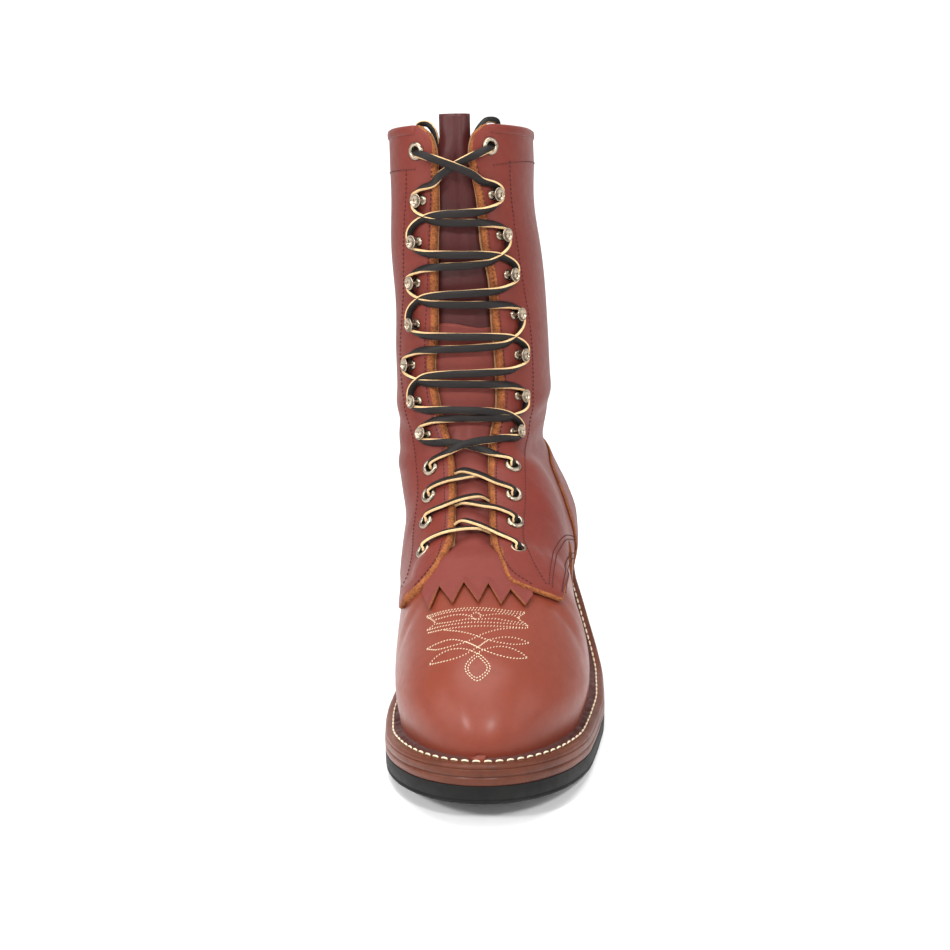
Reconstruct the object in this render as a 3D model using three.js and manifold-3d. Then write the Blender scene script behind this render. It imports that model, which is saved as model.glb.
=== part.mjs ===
// A left packer boot: stitchdown upper on a leather midsole, rubber outsole, underslung heel,
// kiltie under the laces, eyelets below and speed hooks above.
// Millimetres, +Z up, toe towards -Y, +X is the outer (lateral) side of the left foot.
// The origin is on the floor in the middle of the heel.
import * as THREE from "three";
import { mergeVertices } from "three/addons/utils/BufferGeometryUtils.js";
import Module from "manifold-3d";

const wasm = await Module();
wasm.setup();

// Driving sizes of the sole
const SOLE_LENGTH = 302;
const BALL_WIDTH = 113;
const HEEL_WIDTH = 83;
const HEEL_BACK = 44; // the back edge of the heel seat, behind the origin
const OUTSOLE = 9.1;
const SHANK_OUTSOLE = 5.5; // the outsole is skived thinner under the arch
const MIDSOLE = 8;
const TOE_SPRING = 14.2;
const HEEL_SEAT = 43.5; // the floor to the underside of the midsole at the back
const HEEL_LIFT = 8;
const HEEL_BREAST = -26;
const HEEL_UNDERCUT = 9; // how far the heel's back runs forward on its way down
const HEEL_TAPER = 3.5; // how far each side of the heel runs in
const LEDGE = 8.2; // the sole beyond the upper's crease, at the sides
const LEDGE_TOE = 10;
const TREAD_DEPTH = 2.2;
const TREAD_BAR = 6;
const TREAD_PITCH = 13;
const TREAD_RIM = 11;

// Driving sizes of the upper
const INSTEP_HEIGHT = 136;
const SHAFT_HEIGHT = 308;
const SHAFT_WIDTH = 80;
const SHAFT_DEPTH = 114;
const SHAFT_LEAN = 22.6; // the rim's centre stands this far to the inner side of the heel
const RIM_SLOPE = 0.045; // the rim climbs towards the front
const WALL = 2.4;
const QUARTER = 2; // the quarters lie on the vamp as a second layer
const COVER = 2; // the counter cover lies on the quarters
const FLANGE = 2.2;
const INSOLE = 3;
const SHEET = 1.8; // kiltie
const TONGUE = 2;
const TONGUE_RISE = 8; // the tongue's top above the rim
const GAP = 0.3; // between pieces that touch

// Driving sizes of the hardware and the lace
const EYELET_OUTER = 9.4;
const EYELET_BORE = 4.8;
const EYELET_RISE = 1.3;
const BARREL = 0.6; // the wall of the eyelet's barrel
const HOOK_BASE = 6.8;
const HOOK_POST = 3;
const HOOK_HEAD = 7.4;
const HOOK_RISE = 6.6;
const LACE_WIDTH = 4;
const LACE_THICK = 2.2;

const TOE = HEEL_BACK - SOLE_LENGTH;
const RIM_MIDDLE = -20; // where the sloping rim stands at SHAFT_HEIGHT

// The sole's outline from heel (at 0) to toe (at 1). ball says how much of the width there
// follows BALL_WIDTH, the rest follows HEEL_WIDTH. lateral and medial are shares of that width.
// seat is the share of the way from the ball's tread up to the heel seat, spring that of the toe's.
const SOLE_ROWS = [
  { at: 0, ball: 0, lateral: 0.47, medial: 0.47, seat: 1, spring: 0 },
  { at: 0.113, ball: 0, lateral: 0.5, medial: 0.487, seat: 0.985, spring: 0 },
  { at: 0.212, ball: 0, lateral: 0.507, medial: 0.482, seat: 0.9, spring: 0 },
  { at: 0.295, ball: 0.3, lateral: 0.484, medial: 0.438, seat: 0.72, spring: 0 },
  { at: 0.377, ball: 0.6, lateral: 0.487, medial: 0.425, seat: 0.42, spring: 0 },
  { at: 0.47, ball: 0.85, lateral: 0.497, medial: 0.447, seat: 0.12, spring: 0 },
  { at: 0.545, ball: 1, lateral: 0.492, medial: 0.469, seat: 0, spring: 0 },
  { at: 0.642, ball: 1, lateral: 0.485, medial: 0.501, seat: 0, spring: 0 },
  { at: 0.7, ball: 1, lateral: 0.463, medial: 0.507, seat: 0, spring: 0.02 },
  { at: 0.791, ball: 1, lateral: 0.42, medial: 0.487, seat: 0, spring: 0.17 },
  { at: 0.874, ball: 1, lateral: 0.372, medial: 0.451, seat: 0, spring: 0.46 },
  { at: 1, ball: 1, lateral: 0.323, medial: 0.407, seat: 0, spring: 1 },
];
const TOE_ROUND = 0.185; // share of the length over which the toe closes
const HEEL_ROUND = 0.139;

// The foot of the last from heel to toe: the half widths of its body as shares of BALL_WIDTH,
// the ridge's height as a share of INSTEP_HEIGHT, and how far the ridge leans with the shaft.
const FOOT_ROWS = [
  { at: 0.146, lateral: 0.318, medial: 0.363, ridge: 0.72, lean: 0.35 },
  { at: 0.278, lateral: 0.327, medial: 0.469, ridge: 0.912, lean: 0.71 },
  { at: 0.377, lateral: 0.336, medial: 0.518, ridge: 1, lean: 0.8 },
  { at: 0.444, lateral: 0.35, medial: 0.513, ridge: 0.941, lean: 0.752 },
  { at: 0.493, lateral: 0.367, medial: 0.504, ridge: 0.846, lean: 0.708 },
  { at: 0.56, lateral: 0.389, medial: 0.5, ridge: 0.746, lean: 0.642 },
  { at: 0.642, lateral: 0.42, medial: 0.487, ridge: 0.665, lean: 0.531 },
  { at: 0.742, lateral: 0.416, medial: 0.465, ridge: 0.588, lean: 0.42 },
  { at: 0.825, lateral: 0.376, medial: 0.438, ridge: 0.526, lean: 0.354 },
  { at: 0.907, lateral: 0.319, medial: 0.398, ridge: 0.463, lean: 0.288 },
  { at: 0.95, lateral: 0.283, medial: 0.367, ridge: 0.419, lean: 0.243 },
  { at: 1, lateral: 0.248, medial: 0.327, ridge: 0.353, lean: 0.221 },
];

// The leg of the last from the heel seat to the rim: centre as a share of SHAFT_LEAN, half widths
// as shares of SHAFT_WIDTH, front and back as shares of SHAFT_DEPTH, and the twist of the section.
const LEG_ROWS = [
  { at: 0.13, centre: 0.022, lateral: 0.444, medial: 0.438, front: 0.7, back: 0.333, twist: 0.02 },
  { at: 0.169, centre: 0.022, lateral: 0.469, medial: 0.462, front: 0.737, back: 0.351, twist: 0.02 },
  { at: 0.214, centre: 0.022, lateral: 0.498, medial: 0.49, front: 0.772, back: 0.368, twist: 0.03 },
  { at: 0.26, centre: 0.066, lateral: 0.5, medial: 0.512, front: 0.789, back: 0.368, twist: 0.07 },
  { at: 0.299, centre: 0.221, lateral: 0.485, medial: 0.544, front: 0.789, back: 0.355, twist: 0.13 },
  { at: 0.338, centre: 0.465, lateral: 0.478, medial: 0.55, front: 0.772, back: 0.338, twist: 0.15 },
  { at: 0.38, centre: 0.708, lateral: 0.481, medial: 0.525, front: 0.746, back: 0.32, twist: 0.14 },
  { at: 0.429, centre: 0.863, lateral: 0.5, medial: 0.491, front: 0.715, back: 0.307, twist: 0.12 },
  { at: 0.513, centre: 0.863, lateral: 0.56, medial: 0.508, front: 0.667, back: 0.307, twist: 0.09 },
  { at: 0.649, centre: 0.885, lateral: 0.55, medial: 0.515, front: 0.632, back: 0.325, twist: 0.05 },
  { at: 0.779, centre: 0.942, lateral: 0.518, medial: 0.504, front: 0.618, back: 0.346, twist: 0.05 },
  { at: 0.893, centre: 0.973, lateral: 0.489, medial: 0.49, front: 0.61, back: 0.364, twist: 0.05 },
  { at: 1.013, centre: 1, lateral: 0.485, medial: 0.485, front: 0.605, back: 0.377, twist: 0.05 },
];

// The front line that the lacing is set out on, from the toe up the instep to above the rim.
// out is the distance in front of the origin as a share of SOLE_LENGTH, up a share of SHAFT_HEIGHT.
const FRONT_ROWS = [
  { out: 0.805, up: 0.162 },
  { out: 0.762, up: 0.2 },
  { out: 0.68, up: 0.235 },
  { out: 0.596, up: 0.263 },
  { out: 0.497, up: 0.299 },
  { out: 0.414, up: 0.337 },
  { out: 0.348, up: 0.383 },
  { out: 0.3, up: 0.429 },
  { out: 0.265, up: 0.49 },
  { out: 0.247, up: 0.56 },
  { out: 0.238, up: 0.649 },
  { out: 0.233, up: 0.779 },
  { out: 0.23, up: 0.893 },
  { out: 0.228, up: 1.08 },
];

// The throat from its foot to the rim: its two edges, as x in shares of SHAFT_WIDTH.
// on is the place along the front line, as a share of its length from the toe to the rim.
const THROAT_ROWS = [
  { on: 0.29, medial: -0.25, lateral: -0.1 },
  { on: 0.315, medial: -0.292, lateral: -0.044 },
  { on: 0.37, medial: -0.299, lateral: -0.06 },
  { on: 0.42, medial: -0.304, lateral: -0.069 },
  { on: 0.467, medial: -0.312, lateral: -0.082 },
  { on: 0.515, medial: -0.345, lateral: -0.078 },
  { on: 0.588, medial: -0.437, lateral: -0.024 },
  { on: 0.638, medial: -0.464, lateral: -0.028 },
  { on: 0.7, medial: -0.435, lateral: -0.051 },
  { on: 0.763, medial: -0.432, lateral: -0.064 },
  { on: 0.83, medial: -0.418, lateral: -0.12 },
  { on: 0.884, medial: -0.404, lateral: -0.135 },
  { on: 0.96, medial: -0.409, lateral: -0.189 },
  { on: 0.985, medial: -0.44, lateral: -0.165 },
  { on: 1, medial: -0.52, lateral: -0.09 },
  { on: 1.03, medial: -0.6, lateral: 0 },
];

// The lacing, a row for each pair from the lowest eyelets up: x in shares of SHAFT_WIDTH and
// height in shares of SHAFT_HEIGHT, for the inner (medial) and the outer (lateral) facing.
const LACING_ROWS = [
  { kind: "eyelet", medial: -0.482, medialUp: 0.294, lateral: 0.122, lateralUp: 0.303 },
  { kind: "eyelet", medial: -0.481, medialUp: 0.33, lateral: 0.098, lateralUp: 0.334 },
  { kind: "eyelet", medial: -0.476, medialUp: 0.367, lateral: 0.086, lateralUp: 0.37 },
  { kind: "eyelet", medial: -0.474, medialUp: 0.41, lateral: 0.074, lateralUp: 0.409 },
  { kind: "hook", medial: -0.53, medialUp: 0.463, lateral: 0.085, lateralUp: 0.46 },
  { kind: "hook", medial: -0.585, medialUp: 0.521, lateral: 0.118, lateralUp: 0.527 },
  { kind: "hook", medial: -0.62, medialUp: 0.586, lateral: 0.118, lateralUp: 0.601 },
  { kind: "hook", medial: -0.59, medialUp: 0.661, lateral: 0.096, lateralUp: 0.674 },
  { kind: "hook", medial: -0.58, medialUp: 0.736, lateral: 0.056, lateralUp: 0.745 },
  { kind: "hook", medial: -0.555, medialUp: 0.808, lateral: 0.01, lateralUp: 0.816 },
  { kind: "hook", medial: -0.525, medialUp: 0.88, lateral: -0.03, lateralUp: 0.887 },
  { kind: "eyelet", medial: -0.535, medialUp: 0.964, lateral: -0.064, lateralUp: 0.97 },
];

// The lower front edge of each quarter seen from the side, from the throat's foot round the
// corner and back to the counter: out as a share of SOLE_LENGTH, up of SHAFT_HEIGHT.
const QUARTER_EDGE = {
  lateral: [
    { out: 0.475, up: 0.33 },
    { out: 0.476, up: 0.307 },
    { out: 0.5265, up: 0.285 },
    { out: 0.5454, up: 0.275 },
    { out: 0.552, up: 0.261 },
    { out: 0.537, up: 0.241 },
    { out: 0.532, up: 0.235 },
    { out: 0.487, up: 0.247 },
    { out: 0.384, up: 0.252 },
    { out: 0.3, up: 0.262 },
    { out: 0.22, up: 0.258 },
    { out: 0.195, up: 0.22 },
    { out: 0.19, up: 0.1 },
  ],
  medial: [
    { out: 0.471, up: 0.33 },
    { out: 0.472, up: 0.304 },
    { out: 0.497, up: 0.288 },
    { out: 0.513, up: 0.273 },
    { out: 0.518, up: 0.255 },
    { out: 0.5, up: 0.231 },
    { out: 0.475, up: 0.209 },
    { out: 0.426, up: 0.19 },
    { out: 0.36, up: 0.2 },
    { out: 0.28, up: 0.215 },
    { out: 0.22, up: 0.218 },
    { out: 0.195, up: 0.19 },
    { out: 0.19, up: 0.1 },
  ],
};

// The counter cover's edge from the back seam forward and down to the sole.
const COUNTER_EDGE = [
  { out: -0.3, up: 0.4 },
  { out: -0.1, up: 0.398 },
  { out: -0.03, up: 0.388 },
  { out: 0.03, up: 0.37 },
  { out: 0.08, up: 0.345 },
  { out: 0.118, up: 0.315 },
  { out: 0.142, up: 0.28 },
  { out: 0.157, up: 0.24 },
  { out: 0.168, up: 0.19 },
  { out: 0.175, up: 0.1 },
];

// The kiltie's free end: points of the fringe, x in shares of SHAFT_WIDTH, on as in THROAT_ROWS.
const FRINGE_ROWS = [
  { x: -0.455, on: 0.245 },
  { x: -0.4, on: 0.201 },
  { x: -0.351, on: 0.242 },
  { x: -0.26, on: 0.198 },
  { x: -0.203, on: 0.242 },
  { x: -0.106, on: 0.197 },
  { x: -0.052, on: 0.239 },
  { x: 0.031, on: 0.194 },
  { x: 0.085, on: 0.229 },
  { x: 0.174, on: 0.2 },
  { x: 0.215, on: 0.225 },
];
const KILTIE_FOOT = 0.298; // on the front line, where the kiltie dips into the throat
const KILTIE_DIP = 0.055; // share of the front line over which it dips
const KILTIE_TOP = 0.7;

// Cubic through a table's rows, with slopes held back so that it never overshoots.
function curve(xs, ys, at) {
  const last = xs.length - 1;
  const x = Math.min(Math.max(at, xs[0]), xs[last]);
  let i = 0;
  while (i < last - 1 && x > xs[i + 1]) i++;
  const rise = (k) => (ys[k + 1] - ys[k]) / (xs[k + 1] - xs[k]);
  const slope = (k) => {
    if (k === 0) return rise(0);
    if (k === last) return rise(last - 1);
    const a = rise(k - 1);
    const b = rise(k);
    return a * b > 0 ? (2 * a * b) / (a + b) : 0;
  };
  const h = xs[i + 1] - xs[i];
  const t = (x - xs[i]) / h;
  const from = ys[i] * (1 + 2 * t) * (1 - t) ** 2 + ys[i + 1] * t * t * (3 - 2 * t);
  return from + h * (slope(i) * t * (1 - t) ** 2 - slope(i + 1) * t * t * (1 - t));
}

function table(rows, key = "at") {
  const xs = rows.map((row) => row[key]);
  const columns = {};
  for (const name of Object.keys(rows[0])) columns[name] = rows.map((row) => row[name]);
  return (column, at) => curve(xs, columns[column], at);
}

const soleRow = table(SOLE_ROWS);
const footRow = table(FOOT_ROWS);
const legRow = table(LEG_ROWS);
const throatRow = table(THROAT_ROWS, "on");

const share = (y) => (HEEL_BACK - y) / SOLE_LENGTH;
const clamp = (x, low, high) => Math.min(Math.max(x, low), high);
const mix = (a, b, t) => a + (b - a) * t;
const smooth = (t) => t * t * (3 - 2 * t);
const ease = (from, to, x) => smooth(clamp((x - from) / (to - from), 0, 1));

const spread = (count, from, to) =>
  Array.from({ length: count }, (_, i) => mix(from, to, i / (count - 1)));

// How the two round ends close a width: 1 along the middle, 0 at each tip.
function ends(y, front, back, frontRound, backRound, power = 2.1) {
  const f = clamp((front + frontRound - y) / frontRound, 0, 1);
  const b = clamp((y - back + backRound) / backRound, 0, 1);
  return (1 - f ** power) ** (1 / power) * (1 - b ** power) ** (1 / power);
}

const soleWidth = (y) => mix(HEEL_WIDTH, BALL_WIDTH, soleRow("ball", share(y)));
const soleLateral = (y) => soleWidth(y) * soleRow("lateral", share(y));
const soleMedial = (y) => -soleWidth(y) * soleRow("medial", share(y));
// The line that the toe's round is centred on runs a little to the inner side.
const soleCentre = (y) => -BALL_WIDTH * 0.044 * ease(0.5, 1.1, share(y));

// The outline's two edges at y, drawn in by inset all round.
function outline(y, inset = 0) {
  const e = ends(
    y, TOE + inset, HEEL_BACK - inset, TOE_ROUND * SOLE_LENGTH, HEEL_ROUND * SOLE_LENGTH,
  );
  const c = soleCentre(y);
  return [c + (soleLateral(y) - inset - c) * e, c + (soleMedial(y) + inset - c) * e];
}

// The height of the midsole's top, which the upper stands on.
function seat(y) {
  const up = soleRow("seat", share(y)) * (HEEL_SEAT - OUTSOLE);
  return OUTSOLE + MIDSOLE + up + soleRow("spring", share(y)) * TOE_SPRING;
}

const FEATHER_TOE = TOE + LEDGE_TOE;
const FOOT_BACK = HEEL_BACK - 14;
const NOSE = 0.192 * SOLE_LENGTH; // the length over which the toe's width closes
const NOSE_RISE = 0.113 * SOLE_LENGTH; // the length over which the toe's height closes
const FOOT_HEEL_ROUND = 45;
const FOOT_HEEL_RISE = 30;
const FEATHER_RISE = 22; // height over which the feather line widens to the body
const BLEND = 10; // the fillet between foot and leg

// Foot of the last: below 0 inside. Each cross section is a rounded arch over the feather line,
// |side / half width|^n + (height / ridge)^m = 1, and it closes at both ends.
function footField(x, y, z) {
  const s = share(y);
  const c = soleCentre(y);
  const base = seat(y) + FLANGE;
  const wide = ends(y, FEATHER_TOE, FOOT_BACK, NOSE, FOOT_HEEL_ROUND);
  const high = ends(y, FEATHER_TOE, FOOT_BACK, NOSE_RISE, FOOT_HEEL_RISE, 2.3);
  const ridge = INSTEP_HEIGHT * footRow("ridge", s) - base;
  const h = Math.max(ridge, 4) * Math.max(high, 0.03);
  const up = z - base;
  const t = ease(0, FEATHER_RISE, up);
  const lateral = mix(soleLateral(y) - LEDGE, BALL_WIDTH * footRow("lateral", s), t);
  const medial = mix(soleMedial(y) + LEDGE, -BALL_WIDTH * footRow("medial", s), t);
  const q = clamp(up / h, 0, 6);
  const middle = c + (-SHAFT_LEAN * footRow("lean", s) - c) * Math.min(q, 1.2) ** 1.3;
  const wLateral = Math.max(c + (lateral - c) * wide - middle, 2);
  const wMedial = Math.max(middle - c - (medial - c) * wide, 2);
  const w = x > middle ? wLateral : wMedial;
  const square = 1 - ease(0.61, 0.81, s);
  const n = 2.3 + 0.4 * square;
  const m = 2.15 + 0.35 * square;
  const f = ((Math.abs(x - middle) / w) ** n + q ** m) ** (2 / (n + m)) - 1;
  const past = Math.max(FEATHER_TOE - y, y - FOOT_BACK, 0);
  return f * clamp(h, 25, 35) + (past > 0 ? past * 2 + 0.4 : 0);
}

// Leg of the last: an oval at each height, a half oval on each side of its middle.
function legField(x, y, z) {
  const s = clamp(z / SHAFT_HEIGHT, LEG_ROWS[0].at, LEG_ROWS[LEG_ROWS.length - 1].at);
  const front = -SHAFT_DEPTH * legRow("front", s);
  const back = SHAFT_DEPTH * legRow("back", s);
  const middle = (front + back) / 2 + 4;
  const c = -SHAFT_LEAN * legRow("centre", s) + legRow("twist", s) * (y - middle);
  const a = SHAFT_WIDTH * legRow(x > c ? "lateral" : "medial", s);
  const b = y < middle ? middle - front : back - middle;
  const n = 2.25;
  const f = ((Math.abs(x - c) / a) ** n + (Math.abs(y - middle) / b) ** n) ** (1 / n) - 1;
  return f * Math.min(a, b);
}

// The last: foot and leg joined with a fillet.
function lastField(x, y, z) {
  const a = footField(x, y, z);
  const b = legField(x, y, z);
  const h = clamp(0.5 + (0.5 * (b - a)) / BLEND, 0, 1);
  return mix(b, a, h) - BLEND * h * (1 - h);
}

const STEP = 0.25;
function lastNormal(p) {
  const d = (dx, dy, dz) =>
    lastField(p.x + dx, p.y + dy, p.z + dz) - lastField(p.x - dx, p.y - dy, p.z - dz);
  return new THREE.Vector3(d(STEP, 0, 0), d(0, STEP, 0), d(0, 0, STEP));
}

// A point of the last's surface moved out by offset, square to the surface.
function lifted(p, offset) {
  return p.clone().addScaledVector(lastNormal(p).normalize(), offset);
}

const rim = (y) => SHAFT_HEIGHT - RIM_SLOPE * (y - RIM_MIDDLE);

// The height of the ring at s (0 at the feather line, 1 at the rim) where it passes y: the low
// rings follow the feather line and the high ones are level with the rim.
function ringHeight(s, y) {
  const low = seat(y) + FLANGE * 0.4 + s * INSTEP_HEIGHT * 0.81;
  const high = mix(HEEL_LIFT * 3, rim(y), s);
  return mix(low, high, ease(0.15, 0.6, s));
}

// One closed ring of the last's surface, count points from the toe round the lateral side.
function ring(s, count) {
  const spineX = (y) => -SHAFT_LEAN * mix(0.35, 0.95, ease(0.2, 0.6, s)) * ease(-240, -80, y);
  const inside = (y) => lastField(spineX(y), y, ringHeight(s, y)) < 0;
  let front = TOE;
  while (!inside(front)) front += 0.5;
  let back = HEEL_BACK + 20;
  while (!inside(back)) back -= 0.5;
  const middle = (front + back) / 2;
  const reach = (back - front) / 2;
  const side = SHAFT_WIDTH * 0.7;
  const points = [];
  for (let k = 0; k < count; k++) {
    const turn = (2 * Math.PI * k) / count;
    const dx = Math.sin(turn) * side;
    const dy = -Math.cos(turn) * reach;
    let low = 0;
    let high = 1.6;
    const at = (t) => {
      const y = middle + dy * t;
      return new THREE.Vector3(spineX(middle) + dx * t, y, ringHeight(s, y));
    };
    for (let n = 0; n < 26; n++) {
      const half = (low + high) / 2;
      const p = at(half);
      if (lastField(p.x, p.y, p.z) < 0) low = half;
      else high = half;
    }
    points.push(at(low));
  }
  return points;
}

function geometryOf(points, faces) {
  const geometry = new THREE.BufferGeometry();
  const flat = points.flatMap((p) => [p.x, p.y, p.z]);
  geometry.setAttribute("position", new THREE.Float32BufferAttribute(flat, 3));
  geometry.setIndex(faces);
  return geometry;
}

// A closed geometry as a solid that can be joined and cut.
function solid(geometry) {
  const bare = geometry.clone();
  bare.deleteAttribute("normal");
  bare.deleteAttribute("uv");
  const merged = mergeVertices(bare, 1e-4);
  return new wasm.Manifold(
    new wasm.Mesh({
      numProp: 3,
      vertProperties: merged.attributes.position.array,
      triVerts: new Uint32Array(merged.index.array),
    }),
  );
}

// Rings of equal count joined into one closed solid, with a fan over each end.
function loft(rings) {
  const count = rings[0].length;
  const points = rings.flat();
  const faces = [];
  for (let r = 0; r + 1 < rings.length; r++)
    for (let k = 0; k < count; k++) {
      const a = r * count + k;
      const b = r * count + ((k + 1) % count);
      faces.push(a, b, b + count, a, b + count, a + count);
    }
  const fan = (r, flip) => {
    const middle = new THREE.Vector3();
    for (const p of rings[r]) middle.addScaledVector(p, 1 / count);
    const centre = points.push(middle) - 1;
    for (let k = 0; k < count; k++) {
      const a = r * count + k;
      const b = r * count + ((k + 1) % count);
      faces.push(...(flip ? [a, b, centre] : [b, a, centre]));
    }
  };
  fan(0, false);
  fan(rings.length - 1, true);
  return facingOut(points, faces);
}

// The solid of a mesh whose faces may all point the wrong way.
function facingOut(points, faces) {
  const made = solid(geometryOf(points, faces));
  if (made.volume() > 0) return made;
  const turned = [];
  for (let i = 0; i < faces.length; i += 3) turned.push(faces[i], faces[i + 2], faces[i + 1]);
  return solid(geometryOf(points, turned));
}

// A sheet with a top and an under side, both grids of the same size.
function sheet(top, under) {
  const rows = top.length;
  const columns = top[0].length;
  const points = [...top.flat(), ...under.flat()];
  const down = rows * columns;
  const faces = [];
  const quad = (a, b, c, d) => faces.push(a, b, c, a, c, d);
  const at = (r, c) => r * columns + c;
  for (let r = 0; r + 1 < rows; r++)
    for (let c = 0; c + 1 < columns; c++) {
      quad(at(r, c), at(r, c + 1), at(r + 1, c + 1), at(r + 1, c));
      quad(down + at(r, c), down + at(r + 1, c), down + at(r + 1, c + 1), down + at(r, c + 1));
    }
  for (let r = 0; r + 1 < rows; r++) {
    const end = columns - 1;
    quad(at(r + 1, 0), down + at(r + 1, 0), down + at(r, 0), at(r, 0));
    quad(at(r, end), down + at(r, end), down + at(r + 1, end), at(r + 1, end));
  }
  for (let c = 0; c + 1 < columns; c++) {
    const end = rows - 1;
    quad(at(0, c), down + at(0, c), down + at(0, c + 1), at(0, c + 1));
    quad(at(end, c + 1), down + at(end, c + 1), down + at(end, c), at(end, c));
  }
  return facingOut(points, faces);
}

const TIP = 0.4; // the width that an outline keeps at its very tip
// Shares of the length where the sole is measured, closer together at the ends
const STATIONS = spread(28, 0, Math.PI).map((turn) => (1 - Math.cos(turn)) / 2);
const UNDER = -20; // below the floor, where cutting solids start
const SPARE = 12; // how far solids run past the rim before they are cut to it

// The last grown or shrunk by offset, closed from below the floor to above the rim. Its rings
// lie closer together over the foot than up the shaft.
function lastSolid(offset, ringCount, count) {
  const rings = spread(ringCount, 0, 1).map((t) =>
    ring(t * (0.55 + 0.45 * t ** 1.5), count).map((p) => lifted(p, offset)),
  );
  const flat = rings[0].map((p) => new THREE.Vector3(p.x, p.y, UNDER));
  const over = rings[ringCount - 1].map((p) => new THREE.Vector3(p.x, p.y, p.z + SPARE));
  return loft([flat, ...rings, over]);
}

// A slab of the sole between two heights that follow y. profile gives, from the top down, how far
// each line of its side is drawn in, at a share of the thickness.
function slab(from, top, under, profile) {
  const rings = STATIONS.map((t) => {
    const lateral = [];
    const medial = [];
    for (const { down, inset } of profile) {
      const y = mix(from === HEEL_BACK ? from - inset : from, TOE + inset, t);
      const [l, m] = outline(y, inset);
      const z = mix(top(y), under(y), down);
      lateral.push(new THREE.Vector3(Math.max(l, m + TIP), y, z));
      medial.unshift(new THREE.Vector3(m, y, z));
    }
    return [...lateral, ...medial];
  });
  return loft(rings);
}

// Cuts and tops that follow the seat at the same stations as the slabs.
const alongSole = (height) => [
  [HEEL_BACK + SPARE, height(HEEL_BACK)],
  ...STATIONS.map((t) => mix(HEEL_BACK, TOE, t)).map((y) => [y, height(y)]),
  [TOE - SPARE, height(TOE)],
];

const WIDE = 120; // wider than the boot, for cutting solids


// A prism through the whole width with the given outline seen from the side.
function sidePrism(edge, fromX, toX) {
  const shape = new THREE.Shape(edge.map(([y, z]) => new THREE.Vector2(y, z)));
  const geometry = new THREE.ExtrudeGeometry(shape, { depth: toX - fromX, bevelEnabled: false });
  // x of the shape becomes y, y becomes z, and the depth runs along x
  geometry.applyMatrix4(new THREE.Matrix4().set(0, 0, 1, fromX, 1, 0, 0, 0, 0, 1, 0, 0, 0, 0, 0, 1));
  return solid(geometry);
}

const sidePoints = (rows) => rows.map(({ out, up }) => [-out * SOLE_LENGTH, up * SHAFT_HEIGHT]);

// The front chart: a point of the last's front by its x and its place on the front line.
const frontLine = (() => {
  const line = FRONT_ROWS.map(({ out, up }) => [-out * SOLE_LENGTH, up * SHAFT_HEIGHT]);
  const run = [0];
  for (let i = 1; i < line.length; i++)
    run.push(run[i - 1] + Math.hypot(line[i][0] - line[i - 1][0], line[i][1] - line[i - 1][1]));
  const ys = line.map((p) => p[0]);
  const zs = line.map((p) => p[1]);
  const rimRun = curve(zs, run, rim(ys[ys.length - 1]));
  const at = (on) => [curve(run, ys, on * rimRun), curve(run, zs, on * rimRun)];
  return { at, onAt: (z) => curve(zs, run, z) / rimRun };
})();

function front(x, on, offset) {
  const [y, z] = frontLine.at(on);
  const [y0, z0] = frontLine.at(on - 0.01);
  const [y1, z1] = frontLine.at(on + 0.01);
  const size = Math.hypot(y1 - y0, z1 - z0);
  const ny = -(z1 - z0) / size;
  const nz = (y1 - y0) / size;
  let outer = 30;
  let inner = -45;
  for (let n = 0; n < 26; n++) {
    const half = (outer + inner) / 2;
    if (lastField(x, y + ny * half, z + nz * half) > 0) outer = half;
    else inner = half;
  }
  return lifted(new THREE.Vector3(x, y + ny * inner, z + nz * inner), offset);
}

const material = (color, roughness, metalness = 0) =>
  new THREE.MeshStandardMaterial({ color, roughness, metalness });

const FLAT = 0.05; // facets that differ by less than this become one
const boot = new THREE.Group();
function add(name, made, look) {
  const mesh = made.simplify(FLAT).getMesh();
  const geometry = new THREE.BufferGeometry();
  geometry.setAttribute("position", new THREE.BufferAttribute(mesh.vertProperties, 3));
  geometry.setIndex(new THREE.BufferAttribute(mesh.triVerts, 1));
  geometry.computeVertexNormals();
  const part = new THREE.Mesh(geometry, look);
  part.name = name;
  boot.add(part);
  return made;
}

// Sole
const under = (y) => seat(y) - MIDSOLE;
const midsole = slab(
  HEEL_BACK, seat, under,
  [
    { down: 0, inset: 0.4 },
    { down: 0.44, inset: 0 },
    { down: 0.5, inset: 0.7 },
    { down: 0.56, inset: 0.1 },
    { down: 1, inset: 0.3 },
  ],
);
add("midsole", midsole, material(0x8a5330, 0.55));

const outsoleThick = (y) => mix(OUTSOLE, SHANK_OUTSOLE, ease(0.56, 0.4, share(y)));
const tread = (y) => under(y) - outsoleThick(y);
const outsoleBlank = slab(
  HEEL_BACK, (y) => under(y) - GAP, tread,
  [
    { down: 0, inset: 0.2 },
    { down: 0.72, inset: 0.2 },
    { down: 0.78, inset: 0.9 },
    { down: 0.84, inset: 0.3 },
    { down: 1, inset: 1.6 },
  ],
);
const behindBreast = sidePrism(
  [
    [HEEL_BREAST - GAP, UNDER],
    [HEEL_BACK * 2, UNDER],
    [HEEL_BACK * 2, SHAFT_HEIGHT],
    [HEEL_BREAST - GAP, SHAFT_HEIGHT],
  ],
  -WIDE, WIDE,
);
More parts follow.
